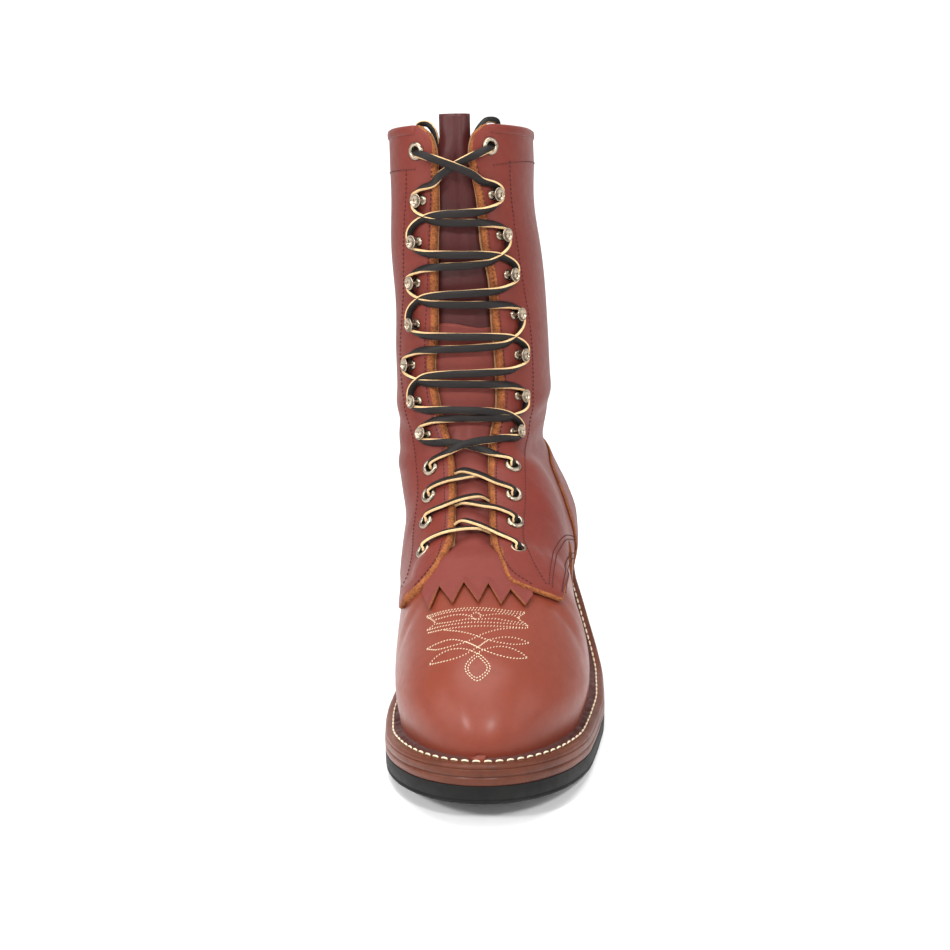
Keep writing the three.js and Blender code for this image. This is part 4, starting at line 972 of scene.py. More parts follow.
def front_by_height(x, z):
    x, z = np.asarray(x, float), np.asarray(z, float)
    start = np.stack([x, 0 * x - SOLE_LENGTH, z], -1)
    return cross(start, start + np.array([0, SOLE_LENGTH - 34, 0]))


spots = []
for row, (hooked, mx, mz, lx, lz) in enumerate(LACING_ROWS):
    for side, sx, sz in ((-1, mx, mz), (1, lx, lz)):
        point = front_by_height([sx * SHAFT_WIDTH], [sz * SHAFT_HEIGHT])
        spots.append({
            "row": row, "side": side, "kind": "hook" if hooked else "eyelet", "skin": point[0],
            "normal": normals(point)[0], "x": sx * SHAFT_WIDTH, "on": float(on_at(point[:, 1], point[:, 2])[0]),
        })
holes = np.where(base_points[:, 2] > 80, hole_keep(base_points, 3.3), 9)
THICK_EDGE = [(0, 0), (0.1, -0.08), (0.35, 0.1), (0.65, 0.55), (0.9, 1.2), (1, 2.0), (1, 3.4)]
THIN_EDGE = [(0, 0), (0.4, 0.15), (0.8, 0.7), (1, 2.3)]


def rounded_min(a, b, size):
    """The smaller of two distances, with the corner between them rounded."""
    gap = np.clip(size - np.abs(a - b), 0, None)
    return np.minimum(a, b) - gap ** 2 / (4 * size)


front_keep = np.minimum(rounded_min(quarter_keep, throat_keep, 9) - edge_width(base_points), holes)
skin(
    "quarters", front_keep, QUARTER, upper_leather, THICK_EDGE, ("upper",), extra=over_kiltie, rough=0.13,
)
skin(
    "vamp", np.where(
        base_points[:, 2] < 50, 9,
        np.minimum(np.minimum(throat_keep - edge_width(base_points) - 1, 9 - quarter_keep), holes)
    ), 0, vamp_leather, THIN_EDGE, ("upper",), soft=0, width=0.4,
)
# a small patch behind the crease at the toe's tip, where the two halves of the grid leave a gap;
# it skips the middle, where the last's field has a thin ridge
toe_x, toe_z = (
    v.ravel() for v in np.meshgrid([-15, -13.6, -12.2, -10.9, -3.6, -2.2, -0.8, 1], np.linspace(30, 38, 15))
)
toe_points = lift(front_by_height(toe_x, toe_z), -0.12)
toe_tris = facing(toe_points, grid_triangles(15, 8), normals(toe_points))
piece("toe_crease", toe_points, toe_tris, vamp_leather, ("upper",), "upper_leather")
counter_line = side_line(COUNTER_EDGE)
counter_shape = np.concatenate(
    [smooth_line(counter_line, 3), [[counter_line[-1, 0], -80], [150, -80], [150, counter_line[0, 1]]]]
)
counter_keep = np.minimum(
    polygon_distance(
        base_points[:, 1], base_points[:, 2], counter_shape
    ), base_points[:, 2] - seat(base_points[:, 1]) - 3.2,
)
skin(
    "counter_cover_skin", counter_keep, QUARTER + 1.8, upper_leather, [
        (0, 0), (0.4, 0.15), (0.9, 0.7), (1, 2.0)
    ],
    ("counter_cover",), width=0.35, rough=0.05,
)
lining_keep = np.minimum(throat_keep + 0.2, base_points[:, 2] - seat(base_points[:, 1]) - 3)
(lined, lined_n), lining_tris, _ = cut(base_tris, lining_keep, [base_points, base_normals])
lined_points, lining_tris = used(
    lined - lined_n / np.linalg.norm(lined_n, axis=1, keepdims=True) * WALL, lining_tris[:, ::-1]
)
piece("lining", lined_points, lining_tris, lining_leather, ("upper",), "upper_leather")

# the binding folded over the rim, from one facing round the back to the other
loop = np.concatenate([grids[1][-1], grids[-1][-1][::-1]])
loop = loop[np.linalg.norm(np.diff(loop, axis=0, prepend=loop[:1] - 1), axis=1) > 0.05]
loop = loop[from_throat(loop) > 0.6]
loop_n = normals(loop)
taper = ease(0.6, 3.6, from_throat(loop))[:, None]
binding_rings = []
for out, rise in [(1.7, -4.4), (2.35, -4.3), (2.75, -3.6), (2.8, -1.2), (2.5, -0.1), (1.5, 0.55),
                (0, 0.7), (-1.6, 0.5), (-2.7, -0.2),
                (-3.0, -1.4), (-2.9, -4), (-2.3, -4.6)]:
    level = mix(np.clip(out, -2.0, 1.8), out, taper) + creases(loop)[:, None] * (out > 0)
    binding_rings.append(loop + loop_n * level + np.array([0, 0, 1]) * mix(min(rise, -0.4), rise, taper))
m = len(loop)
i = np.arange(m - 1)
binding_quads = np.concatenate(
    [
        np.stack(
            [r * m + i + 1, r * m + i, (r + 1) * m + i, (r + 1) * m + i + 1], 1
        ) for r in range(len(binding_rings) - 1)
    ]
)
binding_points = np.concatenate(binding_rings)
piece("rim_binding", binding_points, binding_quads[:, ::-1], upper_leather, ("upper",), "upper_leather")


# %% [markdown]
# ## Sole
# The flange of the vamp is turned out and stitched down to the midsole, with the outsole below. The
# whole ledge could be an outline extruded with bevels. Here each layer is a profile carried round
# the outline, so that the grooves and the worn corner are in the profile, and the seat's curve from
# the heel over the arch to the toe spring is in the height.

# %% Sole layers
def round_sole(inset, count=130, back=None):
    """Places round the sole's edge drawn in by inset, from the back along the lateral side to the
    toe and back along the medial side. back is where a layer that isn't full length starts."""
    t = (1 - np.cos(np.linspace(0, math.pi, count))) / 2
    start = HEEL_BACK - inset if back is None else back
    y = mix(start, TOE + inset, t)
    lateral, medial = outline(y, inset)
    if back is None:
        lateral[0] = medial[0] = (lateral[0] + medial[0]) / 2
    lateral[-1] = medial[-1] = (lateral[-2] + medial[-2]) / 2
    ring = np.concatenate([np.stack([np.maximum(lateral, medial), y], 1), np.stack([medial, y], 1)[::-1][1:]])
    return ring if back is not None else ring[:-1]


def stacked(rings, close=True):
    """Triangles of a stack of equal closed rings, the first and the last filled across."""
    m = len(rings[0])
    k = np.arange(m)
    nxt = (k + 1) % m
    quads = np.concatenate(
        [
            np.stack(
                [r * m + nxt, r * m + k, (r + 1) * m + k, (r + 1) * m + nxt], 1
            ) for r in range(len(rings) - 1)
        ]
    )
    tris = np.concatenate([quads[:, [0, 1, 2]], quads[:, [0, 2, 3]]])
    if close:
        i = np.arange(1, m // 2)
        across = np.stack([i, i + 1, (m - i - 1) % m, (m - i) % m], 1)
        across = np.concatenate([[[0, 1, m - 1, m - 1]], across])
        flat = np.concatenate([across[:, [0, 1, 2]], across[:, [0, 2, 3]]])
        flat = flat[(flat[:, 0] != flat[:, 1]) & (flat[:, 1] != flat[:, 2]) & (flat[:, 0] != flat[:, 2])]
        last = (len(rings) - 1) * m
        tris = np.concatenate([tris, flat, last + flat[:, ::-1]])
    return np.concatenate(rings), tris


def layer(name, profile, top, bottom, material, nodes=(), slot=None, back=None, wobble=0.0, count=130):
    """A slab whose side is a profile of (inset, share of the thickness down)."""
    rings = []
    for inset, down in profile:
        ring = round_sole(inset, count, back)
        z = mix(top(ring[:, 1]), bottom(ring[:, 1]), down)
        ring = ring + wobble * (
            np.sin(ring[:, :1] * 0.31 + down * 9) + np.sin(ring[:, 1:] * 0.23 + down * 5)
        ) * [[0.5, 0]]
        rings.append(np.column_stack([ring, z]))
    points, tris = stacked(rings)
    return piece(name, points, tris, material, nodes, slot)


def under(y):
    return seat(y) - MIDSOLE


def outsole_thick(y):
    return mix(OUTSOLE, SHANK_OUTSOLE, ease(0.56, 0.4, share(y)))


layer(
    "midsole_edge",
    [(6, 0), (0.9, 0), (0.45, 0.03), (0.25, 0.1), (0.15, 0.3), (0.15, 0.42), (0.7, 0.46), (0.7, 0.5), (0.1, 0.54),
     (0.1, 0.7), (0.2, 0.9), (0.5, 1), (6, 1)],
    seat, under, edge_leather, ("midsole",), "midsole_leather", wobble=0.12,
)
layer(
    "outsole_edge",
    [(6, 0), (0.3, 0), (0.2, 0.05), (0.15, 0.3), (0.2, 0.7), (0.75, 0.76), (0.75, 0.8), (0.3, 0.85), (0.5, 0.95),
     (1.6, 1), (8, 1)],
    lambda y: under(y) - GAP * 0.4, lambda y: under(y) - outsole_thick(y), black_rubber, ("outsole",), "rubber",
    back=HEEL_BREAST - GAP,
)


def heel_block(name, high, low, material, nodes, slot, layers=1, count=60):
    """The heel narrows on its way down and its back runs forward, and each lift's joint is a groove."""
    levels = []
    for i in range(layers):
        for share_down, inset in ((0.0, 0.25), (0.06, 0.03), (0.5, -0.05), (0.94, 0.03), (1.0, 0.25)):
            levels.append(((i + share_down) / layers, inset))
    points = []
    t = 1 - np.cos(np.linspace(0, math.pi / 2, count))
    for down, inset in levels:
        y0 = np.linspace(HEEL_BREAST, HEEL_BACK, count)
        top = high(y0) if callable(high) else high + 0 * y0
        height = mix(top, low, down)
        d = 1 - height.mean() / HEEL_SEAT
        back = HEEL_BACK - 0.6 - HEEL_UNDERCUT * d - inset
        y = mix(back, HEEL_BREAST + inset, t)
        lateral, medial = outline(mix(HEEL_BACK, HEEL_BREAST, (back - y) / (back - HEEL_BREAST - inset)), inset)
        lateral = lateral - HEEL_TAPER * d * lateral / 40
        medial = medial - HEEL_TAPER * d * medial / -40
        z = np.interp(y, y0, height)
        lateral[0] = medial[0] = (lateral[0] + medial[0]) / 2
        ring = np.concatenate([np.stack([lateral, y, z], 1), np.stack([medial, y, z], 1)[::-1][:-1]])
        points.append(ring)
    points, tris = stacked(points)
    return piece(name, points, tris, material, nodes, slot)


heel_block(
    "heel_stack_lifts", lambda y: under(y) - GAP * 0.4, HEEL_LIFT + 0.1, edge_leather, ("heel_stack",),
    "heel_leather", 6
)
heel_block("heel_top_lift", HEEL_LIFT, 0, black_rubber, ("heel_lift",), "rubber")


# %% Flange
def flange_profile(count=170):
    """The vamp's turned-out edge as rings from the crease to the sole's edge, at seat height."""
    rings = []
    wrinkle = rng.normal(size=2 * count)
    wrinkle = 0.32 * (wrinkle + 0.6 * np.roll(wrinkle, 1) + 0.3 * np.roll(wrinkle, 2))
    for u in np.linspace(0, 1, 12):
        inset = mix(LEDGE + 3.2, 0.85, u)
        toe_extra = (LEDGE_TOE - LEDGE) * (1 - u)
        ring = round_sole(inset, count)
        ring[:, 1] += toe_extra * ease(-200, -258, ring[:, 1])
        height = FLANGE + 2.6 * (1 - ease(0, 0.38, u)) - 0.5 * ease(0.93, 1, u)
        height = height + wrinkle[:len(ring)] * bell(u - 0.42, 0.2)
        rings.append(np.column_stack([ring, seat(ring[:, 1]) + height]))
    ring = round_sole(0.6, count)
    rings.append(np.column_stack([ring, seat(ring[:, 1]) + 0.1]))
    return rings


def flange(count=170):
    rings = flange_profile(count)
    points, tris = stacked(rings, close=False)
    far = np.arange(len(rings) - 1)[:, None].repeat(len(rings[0]), 1).ravel()
    return piece(
        "flange", points, tris, [flange_leather, edge_leather], ("upper",), "upper_leather",
        (np.tile(far, 2) >= 7).astype(int)
    )


flange(260)

# %% [markdown]
# ## Tongue and kiltie
# The tongue is a soft rolled strip behind the facings and stands above the rim. The kiltie is a
# flat strip under the lower laces that ends in a pointed fringe on the vamp. Cloth simulation could
# drape them. Here both are strips of the front chart with a thickness, since leather this thick
# keeps the shape that the last gives it.

# %% Strips
def strip(name, on, across, offset, thick, material, nodes, slot, edge_material=None):
    """A strip with rows on and columns across (arrays of equal shape), its upper face at offset."""
    top = front(across, on, offset)
    bottom = front(across, on, np.asarray(offset) - thick)
    r, c = on.shape
    n = r * c
    k = np.arange(n).reshape(r, c)
    a, b, d, e = k[:-1, :-1], k[:-1, 1:], k[1:, 1:], k[1:, :-1]
    over = np.stack([a, b, d, e], 2).reshape(-1, 4)
    border = np.concatenate([k[0, :], k[1:, -1], k[-1, -2::-1], k[-2:0:-1, 0]])
    nxt = np.roll(border, -1)
    rim_faces = np.stack([nxt, border, border + n, nxt + n], 1)
    faces = np.concatenate([over, n + over[:, ::-1], rim_faces])
    index = np.concatenate([np.zeros(2 * len(over)), np.ones(len(rim_faces))])
    points = np.concatenate([top.reshape(-1, 3), bottom.reshape(-1, 3)])
    made = piece(name, points, faces, [material, edge_material or material], nodes, slot, index)
    return made


on_grid = np.linspace(THROAT_FOOT + 0.02, 1 + 5.0 / 302, 170)[:, None]
across_grid = np.linspace(0, 1, 40)[None, :]
medial_edge, lateral_edge = throat_edges(np.minimum(on_grid, 0.955))
slim = ease(0.93, 0.985, on_grid)
tongue_x = mix(medial_edge - 8 + 7.5 * slim, lateral_edge + 8 - 4.6 * slim, across_grid)
tongue_on = on_grid + 0 * across_grid
roll = np.sqrt(np.clip(1 - (2 * across_grid - 1) ** 2, 0, 1))
bend_across = 2 * across_grid - 1
soft_waves = 0.5 * np.sin(tongue_on * 41) * ease(0.68, 0.74, tongue_on) * (1 - bend_across ** 2)
tongue_offset = -WALL - 0.6 - 3.2 * bend_across ** 2 * mix(0.75, 1.5, slim) + soft_waves
tongue_offset = tongue_offset - 0.8 * bell(
    bend_across + 0.45 - 0.6 * tongue_on, 0.12
) * ease(0.7, 0.8, tongue_on)
strip("tongue_strip", tongue_on, tongue_x, tongue_offset, 2.0, tongue_leather, ("tongue",), "tongue_leather")

KILTIE_FOOT, KILTIE_TOP = 0.298, 0.7


fringe_t = np.linspace(0, len(FRINGE_ROWS) - 1, 201)
fringe_x = SHAFT_WIDTH * np.interp(fringe_t, np.arange(len(FRINGE_ROWS)), FRINGE_ROWS[:, 0])
fringe_on = np.interp(fringe_t, np.arange(len(FRINGE_ROWS)), FRINGE_ROWS[:, 1])
down = np.concatenate([np.linspace(0, 1, 26), 1 + np.linspace(0, 1, 100)[1:]])[:, None]
kiltie_on = np.where(
    down <= 1, mix(fringe_on, KILTIE_FOOT - 0.004, np.minimum(down, 1)),
    mix(KILTIE_FOOT - 0.004, KILTIE_TOP, np.maximum(down - 1, 0))
)
across_share = np.linspace(0, 1, 201)[None, :]
kiltie_on = kiltie_on + 0.004 * np.sin(across_share * 5 + 0.6) * ease(0.6, 0.7, kiltie_on)
km, kl = throat_edges(np.maximum(kiltie_on, THROAT_FOOT))
kiltie_x = mix(fringe_x + 0 * down, mix(km - 1.5, kl + 1.5, across_share), ease(0.292, 0.345, kiltie_on))
bow = (1 - (2 * across_share - 1) ** 2) * ease(0.3, 0.355, kiltie_on)
kiltie_offset = mix(1.9, -3.6, ease(0.296, 0.35, kiltie_on)) + 0.7 * ease(0.35, 0, down) + 2.4 * bow
strip(
    "kiltie_sheet", kiltie_on, kiltie_x, kiltie_offset, 1.5, kiltie_leather, ("kiltie",), "kiltie_leather",
    raw_edge
)

# %% [markdown]
# ## Eyelets and hooks
# The eyelets are rolled rings of plated steel, the hooks are riveted spools: a washer toward the
# throat, a neck, and a dished head that leans outwards. The lace runs round the neck. All are
# turned profiles, which is how such parts are pressed or turned in life.

# %% Hardware
def turned(profile, centre, axis, segments=28):
    """A profile of (radius, height) turned about an axis, as points and triangles."""
    axis = np.asarray(axis, float) / np.linalg.norm(axis)
    side = np.cross(axis, [0.31, 0.2, 0.93])
    side /= np.linalg.norm(side)
    other = np.cross(axis, side)
    angle = np.linspace(0, 2 * math.pi, segments, endpoint=False)
    around = np.cos(angle)[:, None] * side + np.sin(angle)[:, None] * other
    rings = [centre + axis * h + around * r for r, h in profile]
    m, k = segments, np.arange(segments)
    nxt = (k + 1) % m
    quads = np.concatenate(
        [
            np.stack(
                [r * m + k, r * m + nxt, (r + 1) * m + nxt, (r + 1) * m + k], 1
            ) for r in range(len(rings) - 1)
        ]
    )
    return np.concatenate(rings), np.concatenate([quads[:, [0, 1, 2]], quads[:, [0, 2, 3]]])


def joined(parts):
    """Several (points, triangles) pairs as one pair."""
    points, tris, first = [], [], 0
    for p, t in parts:
        points.append(p)
        tris.append(t + first)
        first += len(p)
    return np.concatenate(points), np.concatenate(tris)


EYELET_RING = [
    (2.45, -3.2), (2.45, 0.6), (2.6, 1.15), (3.05, 1.5), (3.6, 1.55), (4.2, 1.3), (4.65, 0.8), (4.8, 0.15),
    (4.8, -0.3)
]
WASHER = [(0.05, 1.05), (1.5, 1.0), (2.3, 0.75), (2.95, 0.3), (3.05, -0.25), (0.05, -0.3)]
SPOOL = [(1.5, -1.6), (1.35, 0.2), (1.2, 1.6), (1.3, 3.0), (1.9, 4.0), (2.9, 4.6), (3.55, 5.0),
         (3.75, 5.35), (3.7, 5.75), (3.4, 5.9),
         (3.1, 5.7), (2.75, 5.1), (2.1, 4.5), (1.1, 4.2), (0.05, 4.15)]
counts = {}
for spot in spots:
    key = spot["kind"] + ("_left" if spot["side"] < 0 else "_right")
    counts[key] = counts.get(key, 0) + 1
    node = f"{key}_{counts[key]}"
    lifted = lift(spot["skin"][None], QUARTER)[0]
    away = np.array([spot["side"], 0, 0]) - spot["normal"] * spot["normal"][0] * spot["side"]
    away /= np.linalg.norm(away)
    spot["away"], spot["base"] = away, lifted
    if spot["kind"] == "eyelet":
        points, tris = turned(EYELET_RING, lifted, spot["normal"], 40)
    else:
        lean = spot["normal"] + away * 0.1
        lean /= np.linalg.norm(lean)
        foot = lift((spot["skin"] - away * 2.0)[None], QUARTER)[0]
        points, tris = joined([turned(WASHER, foot, spot["normal"]), turned(SPOOL, foot, lean)])
        spot["neck"], spot["lean"] = foot + lean * 2.4, lean
    tris = tris if spot["kind"] == "hook" else tris
    piece(node + "_ring", points, tris[:, ::-1], brass, (node,), "brassy_metal")

# %% [markdown]
# ## Lace
# A square-cut leather lace: black on its two broad faces, and pale tan on the two cut edges. It
# comes up through each eyelet, crosses the throat and dives behind the other facing, and above the
# ankle it swings round the hooks in flat S shapes. A curve with a round bevel would be quick, but
# the pale edges are what one sees, so that the lace is a strip with a twist: it shows its edge
# where it bends round a hook and its face where it lies flat.

# %% Lace
LACE_BROAD, LACE_THIN = 4.1, 1.9


def catmull(points, count):
    """A smooth line through points of any number of columns, count samples."""
    p = np.asarray(points, float)
    p = np.concatenate([2 * p[:1] - p[1:2], p, 2 * p[-1:] - p[-2:-1]])
    at = np.linspace(0, len(p) - 3 - 1e-6, count)
    i = at.astype(int)
    t = (at - i)[:, None]
    a, b, c, d = p[i], p[i + 1], p[i + 2], p[i + 3]
    return 0.5 * (2 * b + (c - a) * t + (2 * a - 5 * b + 4 * c - d) * t ** 2 + (3 * b - a - 3 * c + d) * t ** 3)


def lace_strip(path, up, twist, broad=LACE_BROAD, thin=LACE_THIN):
    """A strip along path whose flat side faces up, turned by twist. Gives points, quads and the
    index of the face: 0 for the broad sides, 1 for the cut edges."""
    along = np.gradient(path, axis=0)
    along /= np.linalg.norm(along, axis=1, keepdims=True)
    side = np.cross(up, along)
    side /= np.linalg.norm(side, axis=1, keepdims=True)
    up = np.cross(along, side)
    c, sn = np.cos(twist)[:, None], np.sin(twist)[:, None]
    wide, high = side * c + up * sn, up * c - side * sn
    b, h, r = broad / 2, thin / 2, 0.28
    section = [
        (-b, -h + r), (-b, h - r), (-b + r, h), (0, h + 0.07), (b - r, h), (b, h - r), (b, -h + r), (b - r, -h),
        (0, -h - 0.07), (-b + r, -h)
    ]
    rings = [path + wide * u + high * v for u, v in section]
    n, m = len(path), len(section)
    points = np.stack(rings, 1).reshape(-1, 3)
    k = np.arange(n - 1)[:, None] * m
    j = np.arange(m)[None]
    nxt = (j + 1) % m
    quads = np.stack([k + j, k + nxt, k + m + nxt, k + m + j], 2).reshape(-1, 4)
    face = np.tile(np.array([1, 0, 0, 0, 0, 1, 0, 0, 0, 0]), n - 1)
    tris = np.concatenate([quads[:, [0, 1, 2]], quads[:, [0, 2, 3]]])
    fan = np.arange(1, m - 1)
    ends_ = np.concatenate(
        [np.stack([0 * fan, fan + 1, fan], 1), (n - 1) * m + np.stack([0 * fan, fan, fan + 1], 1)]
    )
    return points, np.concatenate([tris, ends_]), np.concatenate([face, face, np.ones(len(ends_), int)])


def spot_at(row, side):
    return next(one for one in spots if one["row"] == row and one["side"] == side)


RUN = 1 / RIM_RUN


def lace_run(row, side):
    """The run that starts at (row, side) and goes up to the other side's next row: control places
    are (x, on, offset, twist in degrees)."""
    a, b = spot_at(row, side), spot_at(row + 1, -side)
    over = (row + (0 if side < 0 else 1)) % 2
    width, height = b["x"] - a["x"], b["on"] - a["on"]

    def at(sx, sz, offset, twist):
        return (a["x"] + width * sx, a["on"] + height * sz, offset, twist)

    from_eyelet = [
        (a["x"], a["on"], -1.4, 30 * side), (a["x"], a["on"] + 0.8 * RUN, 2.4, 32 * side),
        (a["x"] - side * 1.5, a["on"] + 2.8 * RUN, 4.2, 34 * side),
    ]
    if b["kind"] == "eyelet" and row < 3:
        medial_x, lateral_x = throat_edges(b["on"])
        tip = (float(lateral_x if side < 0 else medial_x) - a["x"]) / width
        rise = 0.8 if over else 0.6
        return from_eyelet + [
            at(0.2, 0.3, 4.2, 34 * side), at(
                0.36, 0.62 * rise, 4.0 + 0.3 * over, 34 * side
            ), at(0.5, 0.79 * rise, 3.2 + 1.2 * over, 33 * side),
            at(
                0.5 + 0.5 * (tip - 0.5), rise * 0.92, 1.7 + 1.3 * over, 32 * side
            ), at(tip, rise, -1.6, 30 * side), at(tip + 0.12, rise + 0.04, -3.0, 28 * side),
        ]
    plateau = (0.62 if over else 0.37) + float(rng.uniform(-0.03, 0.03))
    if a["kind"] == "eyelet":
        plateau = 0.74 if over else 0.66
    elif b["kind"] == "eyelet":
        plateau = 0.34
    high = 3.5 + 2.1 * over
    low_loop, high_loop = plateau * height, (1 - plateau) * height
    first = 1 if row % 2 else -1
    signs = (first, 1, 1) if side < 0 else (first, -1, -1)
    points = []
    if a["kind"] == "hook":
        neck = a["x"] - side * 1.6
        for inward, part, offset, turned_by in (
            (-2.3, 0, 4.6, 88), (-2.6, 0.25, 4.5, 82), (-1.7, 0.48, 4.2, 70), (1.0, 0.7, 3.9, 56),
            (6.2, 0.9, 3.7, 34)
        ):
            points.append(
                (neck - side * inward, a["on"] + low_loop * part, offset + 0.3 * over, turned_by * signs[0])
            )
    else:
        points += from_eyelet + [at(0.18, 0.27, 4.3, 28 * side)]
    if b["kind"] == "eyelet":
        points += [
            at(0.32, 0.47, high, 12 * signs[1]), at(0.5, 0.63, high, 14 * signs[1]),
            at(0.7, 0.78, high, 20 * signs[1])
        ]
    elif a["kind"] == "eyelet":
        points += [
            at(0.36, 0.46, high, 20 * signs[1]), at(0.52, 0.58, high, 14 * signs[1]),
            at(0.68, 0.66, high, 10 * signs[1])
        ]
    else:
        points += [
            at(0.36, plateau * 0.985, high, 8 * signs[1]), at(0.5, plateau, high, 3 * signs[1]),
            at(0.64, plateau + 0.015, high, 8 * signs[1]),
        ]
    if b["kind"] == "hook":
        neck = b["x"] + side * 1.6
        for inward, part, offset, turned_by in (
            (6.2, 0.9, 3.7, 34), (1.0, 0.7, 3.9, 56), (-1.7, 0.48, 4.2, 70), (-2.6, 0.25, 4.5, 82),
            (-2.3, 0, 4.6, 88)
        ):
            points.append(
                (neck + side * inward, b["on"] - high_loop * part, offset + 0.3 * over, turned_by * signs[2])
            )
    else:
        points += [
            at(0.88, 0.9, 4.4, 28 * side),
            (b["x"] + side * 0.1, b["on"] - 0.8 * RUN, 2.4, 34 * side), (b["x"], b["on"], -1.4, 34 * side),
        ]
    return points


def lace_mesh(points, count=70):
    x, on, offset, twist = catmull(points, count).T
    path = front(x, on, offset)
    return lace_strip(path, normals(path), np.radians(twist))


for row in range(len(LACING_ROWS) - 1):
    made = [lace_mesh(lace_run(row, side)) for side in (-1, 1)]
    points, tris = joined([(p, t) for p, t, _ in made])
    piece(
        f"lace_run_{row + 1}", points, tris, [black_leather, lace_edge], (f"lace_cross_{row + 1}",),
        "lace_leather", np.concatenate([f for _, _, f in made])
    )

# the two free ends go in at the top eyelets, arch over the rim and hang inside the shaft
for side, name in ((-1, "lace_end_left"), (1, "lace_end_right")):
    spot = spot_at(len(LACING_ROWS) - 1, side)
    top = float(rim(spot["skin"][1]))
    route = []
    wide, lift_up = (3.0, -3.0) if side < 0 else (7.0, 0.0)
    for dx, z, more in (
        (4.5, top - 13.2, 0), (4 + wide * 0.6, top - 6, 0), (2.5 + wide, top, 3.5 + lift_up),
        (-1.5 + wide, top, 6 + lift_up), (-5 + wide, top, 2.5 + lift_up), (-6 + wide * 0.5, top - 6, 0),
        (-6, top - 22, 0)
    ):
        point = front_by_height([spot["x"] + dx * side], [z])[0]
        route.append(point - spot["normal"] * 8.4 + np.array([0, 0, more * 0.55]))
    route = catmull(route, 60)
    points, tris, face = lace_strip(route, np.tile([[0.0, -1.0, 0.0]], (60, 1)), np.full(60, 0.4), 3.0, 2.2)
    end = piece(name + "_strip", points, tris, [black_leather, lace_edge], (name,), "lace_leather", face)

for name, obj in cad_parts.items():
    if name == "insole":
        obj.data.materials.clear()
        obj.data.materials.append(lining_leather)

# %% [markdown]
# ## Stitches
# Seams could be a bump in the material. Here each stitch is its own small piece of thread that
# dives into the leather at both ends, because the pale welt and toe stitches catch the light one by
# one. The lines are placed as the camera sees them and cast on the last, then spaced evenly.

# %% Stitch helpers
def seen(places, offset):
    """Places of the picture in pixels, cast from the camera on the last and lifted by offset."""
    flat = np.atleast_2d(np.asarray(places, float))
    way = forward + right * ((flat[:, :1] - 475) / FOCAL_PX) - up * ((flat[:, 1:] - 475) / FOCAL_PX)
    start = np.array(EYE, float)
    steps = np.linspace(0.55, 1.25, 140) * np.linalg.norm(start)
    p = start + way[:, None] * steps[None, :, None]
    inside = field(p[..., 0], p[..., 1], p[..., 2]) < 0
    hit = inside.argmax(1)
    rows = np.flatnonzero(inside.any(1))
    found = cross(p[rows, np.maximum(hit[rows] - 1, 0)], p[rows, hit[rows]])
    return lift(found, offset) + normals(found) * (over_kiltie(found) * (offset > QUARTER))[:, None]


def spaced(path, pitch):
    """Points of a line at even steps of about pitch."""
    run = np.concatenate([[0], np.cumsum(np.linalg.norm(np.diff(path, axis=0), axis=1))])
    count = max(2, int(round(run[-1] / pitch)) + 1)
    at = np.linspace(0, run[-1], count)
    return np.stack([np.interp(at, run, path[:, k]) for k in range(3)], 1)


def stitches(path, pitch, size, radius, up=None, lean=0.0):
    """Small threads along a line on the surface, each an arched capsule of the length size."""
    p = spaced(path, pitch)
    a, b = p[:-1], p[1:]
    n = normals((a + b) / 2) if up is None else np.tile([up], (len(a), 1))
    along = b - a
    along /= np.linalg.norm(along, axis=1, keepdims=True)
    side = np.cross(n, along)
    side /= np.linalg.norm(side, axis=1, keepdims=True)
    middle = (a + b) / 2
    sides = np.linspace(0, 2 * math.pi, 6, endpoint=False)
    rings = []
    for s_along, fat, high in (
        (-0.5, 0.35, -0.6), (-0.4, 0.85, 0.05), (0, 1, 0.4), (0.4, 0.85, 0.05), (0.5, 0.35, -0.6)
    ):
        centre = middle + (along + side * lean) * size * s_along + n * radius * high
        rings.append(
            centre[:, None] + radius * fat * (
                np.cos(sides)[None, :, None] * side[:, None] + np.sin(sides)[None, :, None] * n[:, None]
            )
        )
    rings = np.stack(rings, 1)
    count = len(a)
    k = np.arange(count)[:, None, None] * 30 + np.arange(4)[None, :, None] * 6
    j = np.arange(6)[None, None]
    nxt = (j + 1) % 6
    quads = np.stack([k + j, k + nxt, k + 6 + nxt, k + 6 + j], 3).reshape(-1, 4)
    first = np.arange(count)[:, None] * 30
    caps = np.concatenate([first + [[0, 3, 2]], first + [[0, 2, 1]], first + [[0, 5, 4]], first + [[0, 4, 3]],
                           first + 24 + [[0, 1, 2]], first + 24 + [[0, 2, 3]],
                           first + 24 + [[0, 3, 4]], first + 24 + [[0, 4, 5]]])
    tris = np.concatenate([quads[:, [0, 2, 1]], quads[:, [0, 3, 2]], caps])
    return rings.reshape(-1, 3), tris


# %% Stitch rows
# distance from one to the next, length and thread radius
WELT_STITCH = (5.2, 3.5, 0.5)
SEAM_STITCH = (2.4, 1.5, 0.3)

ring = round_sole(LEDGE * 0.5 + 0.2, 500)
ring[:, 1] += 1.0 * ease(-200, -258, ring[:, 1])
welt = np.column_stack([ring, seat(ring[:, 1]) + FLANGE + 0.35])
welt = np.concatenate([welt, welt[:1]])
piece("welt_stitches", *stitches(welt, *WELT_STITCH, up=(0, 0, 1)), thread, ("upper",), "upper_leather")

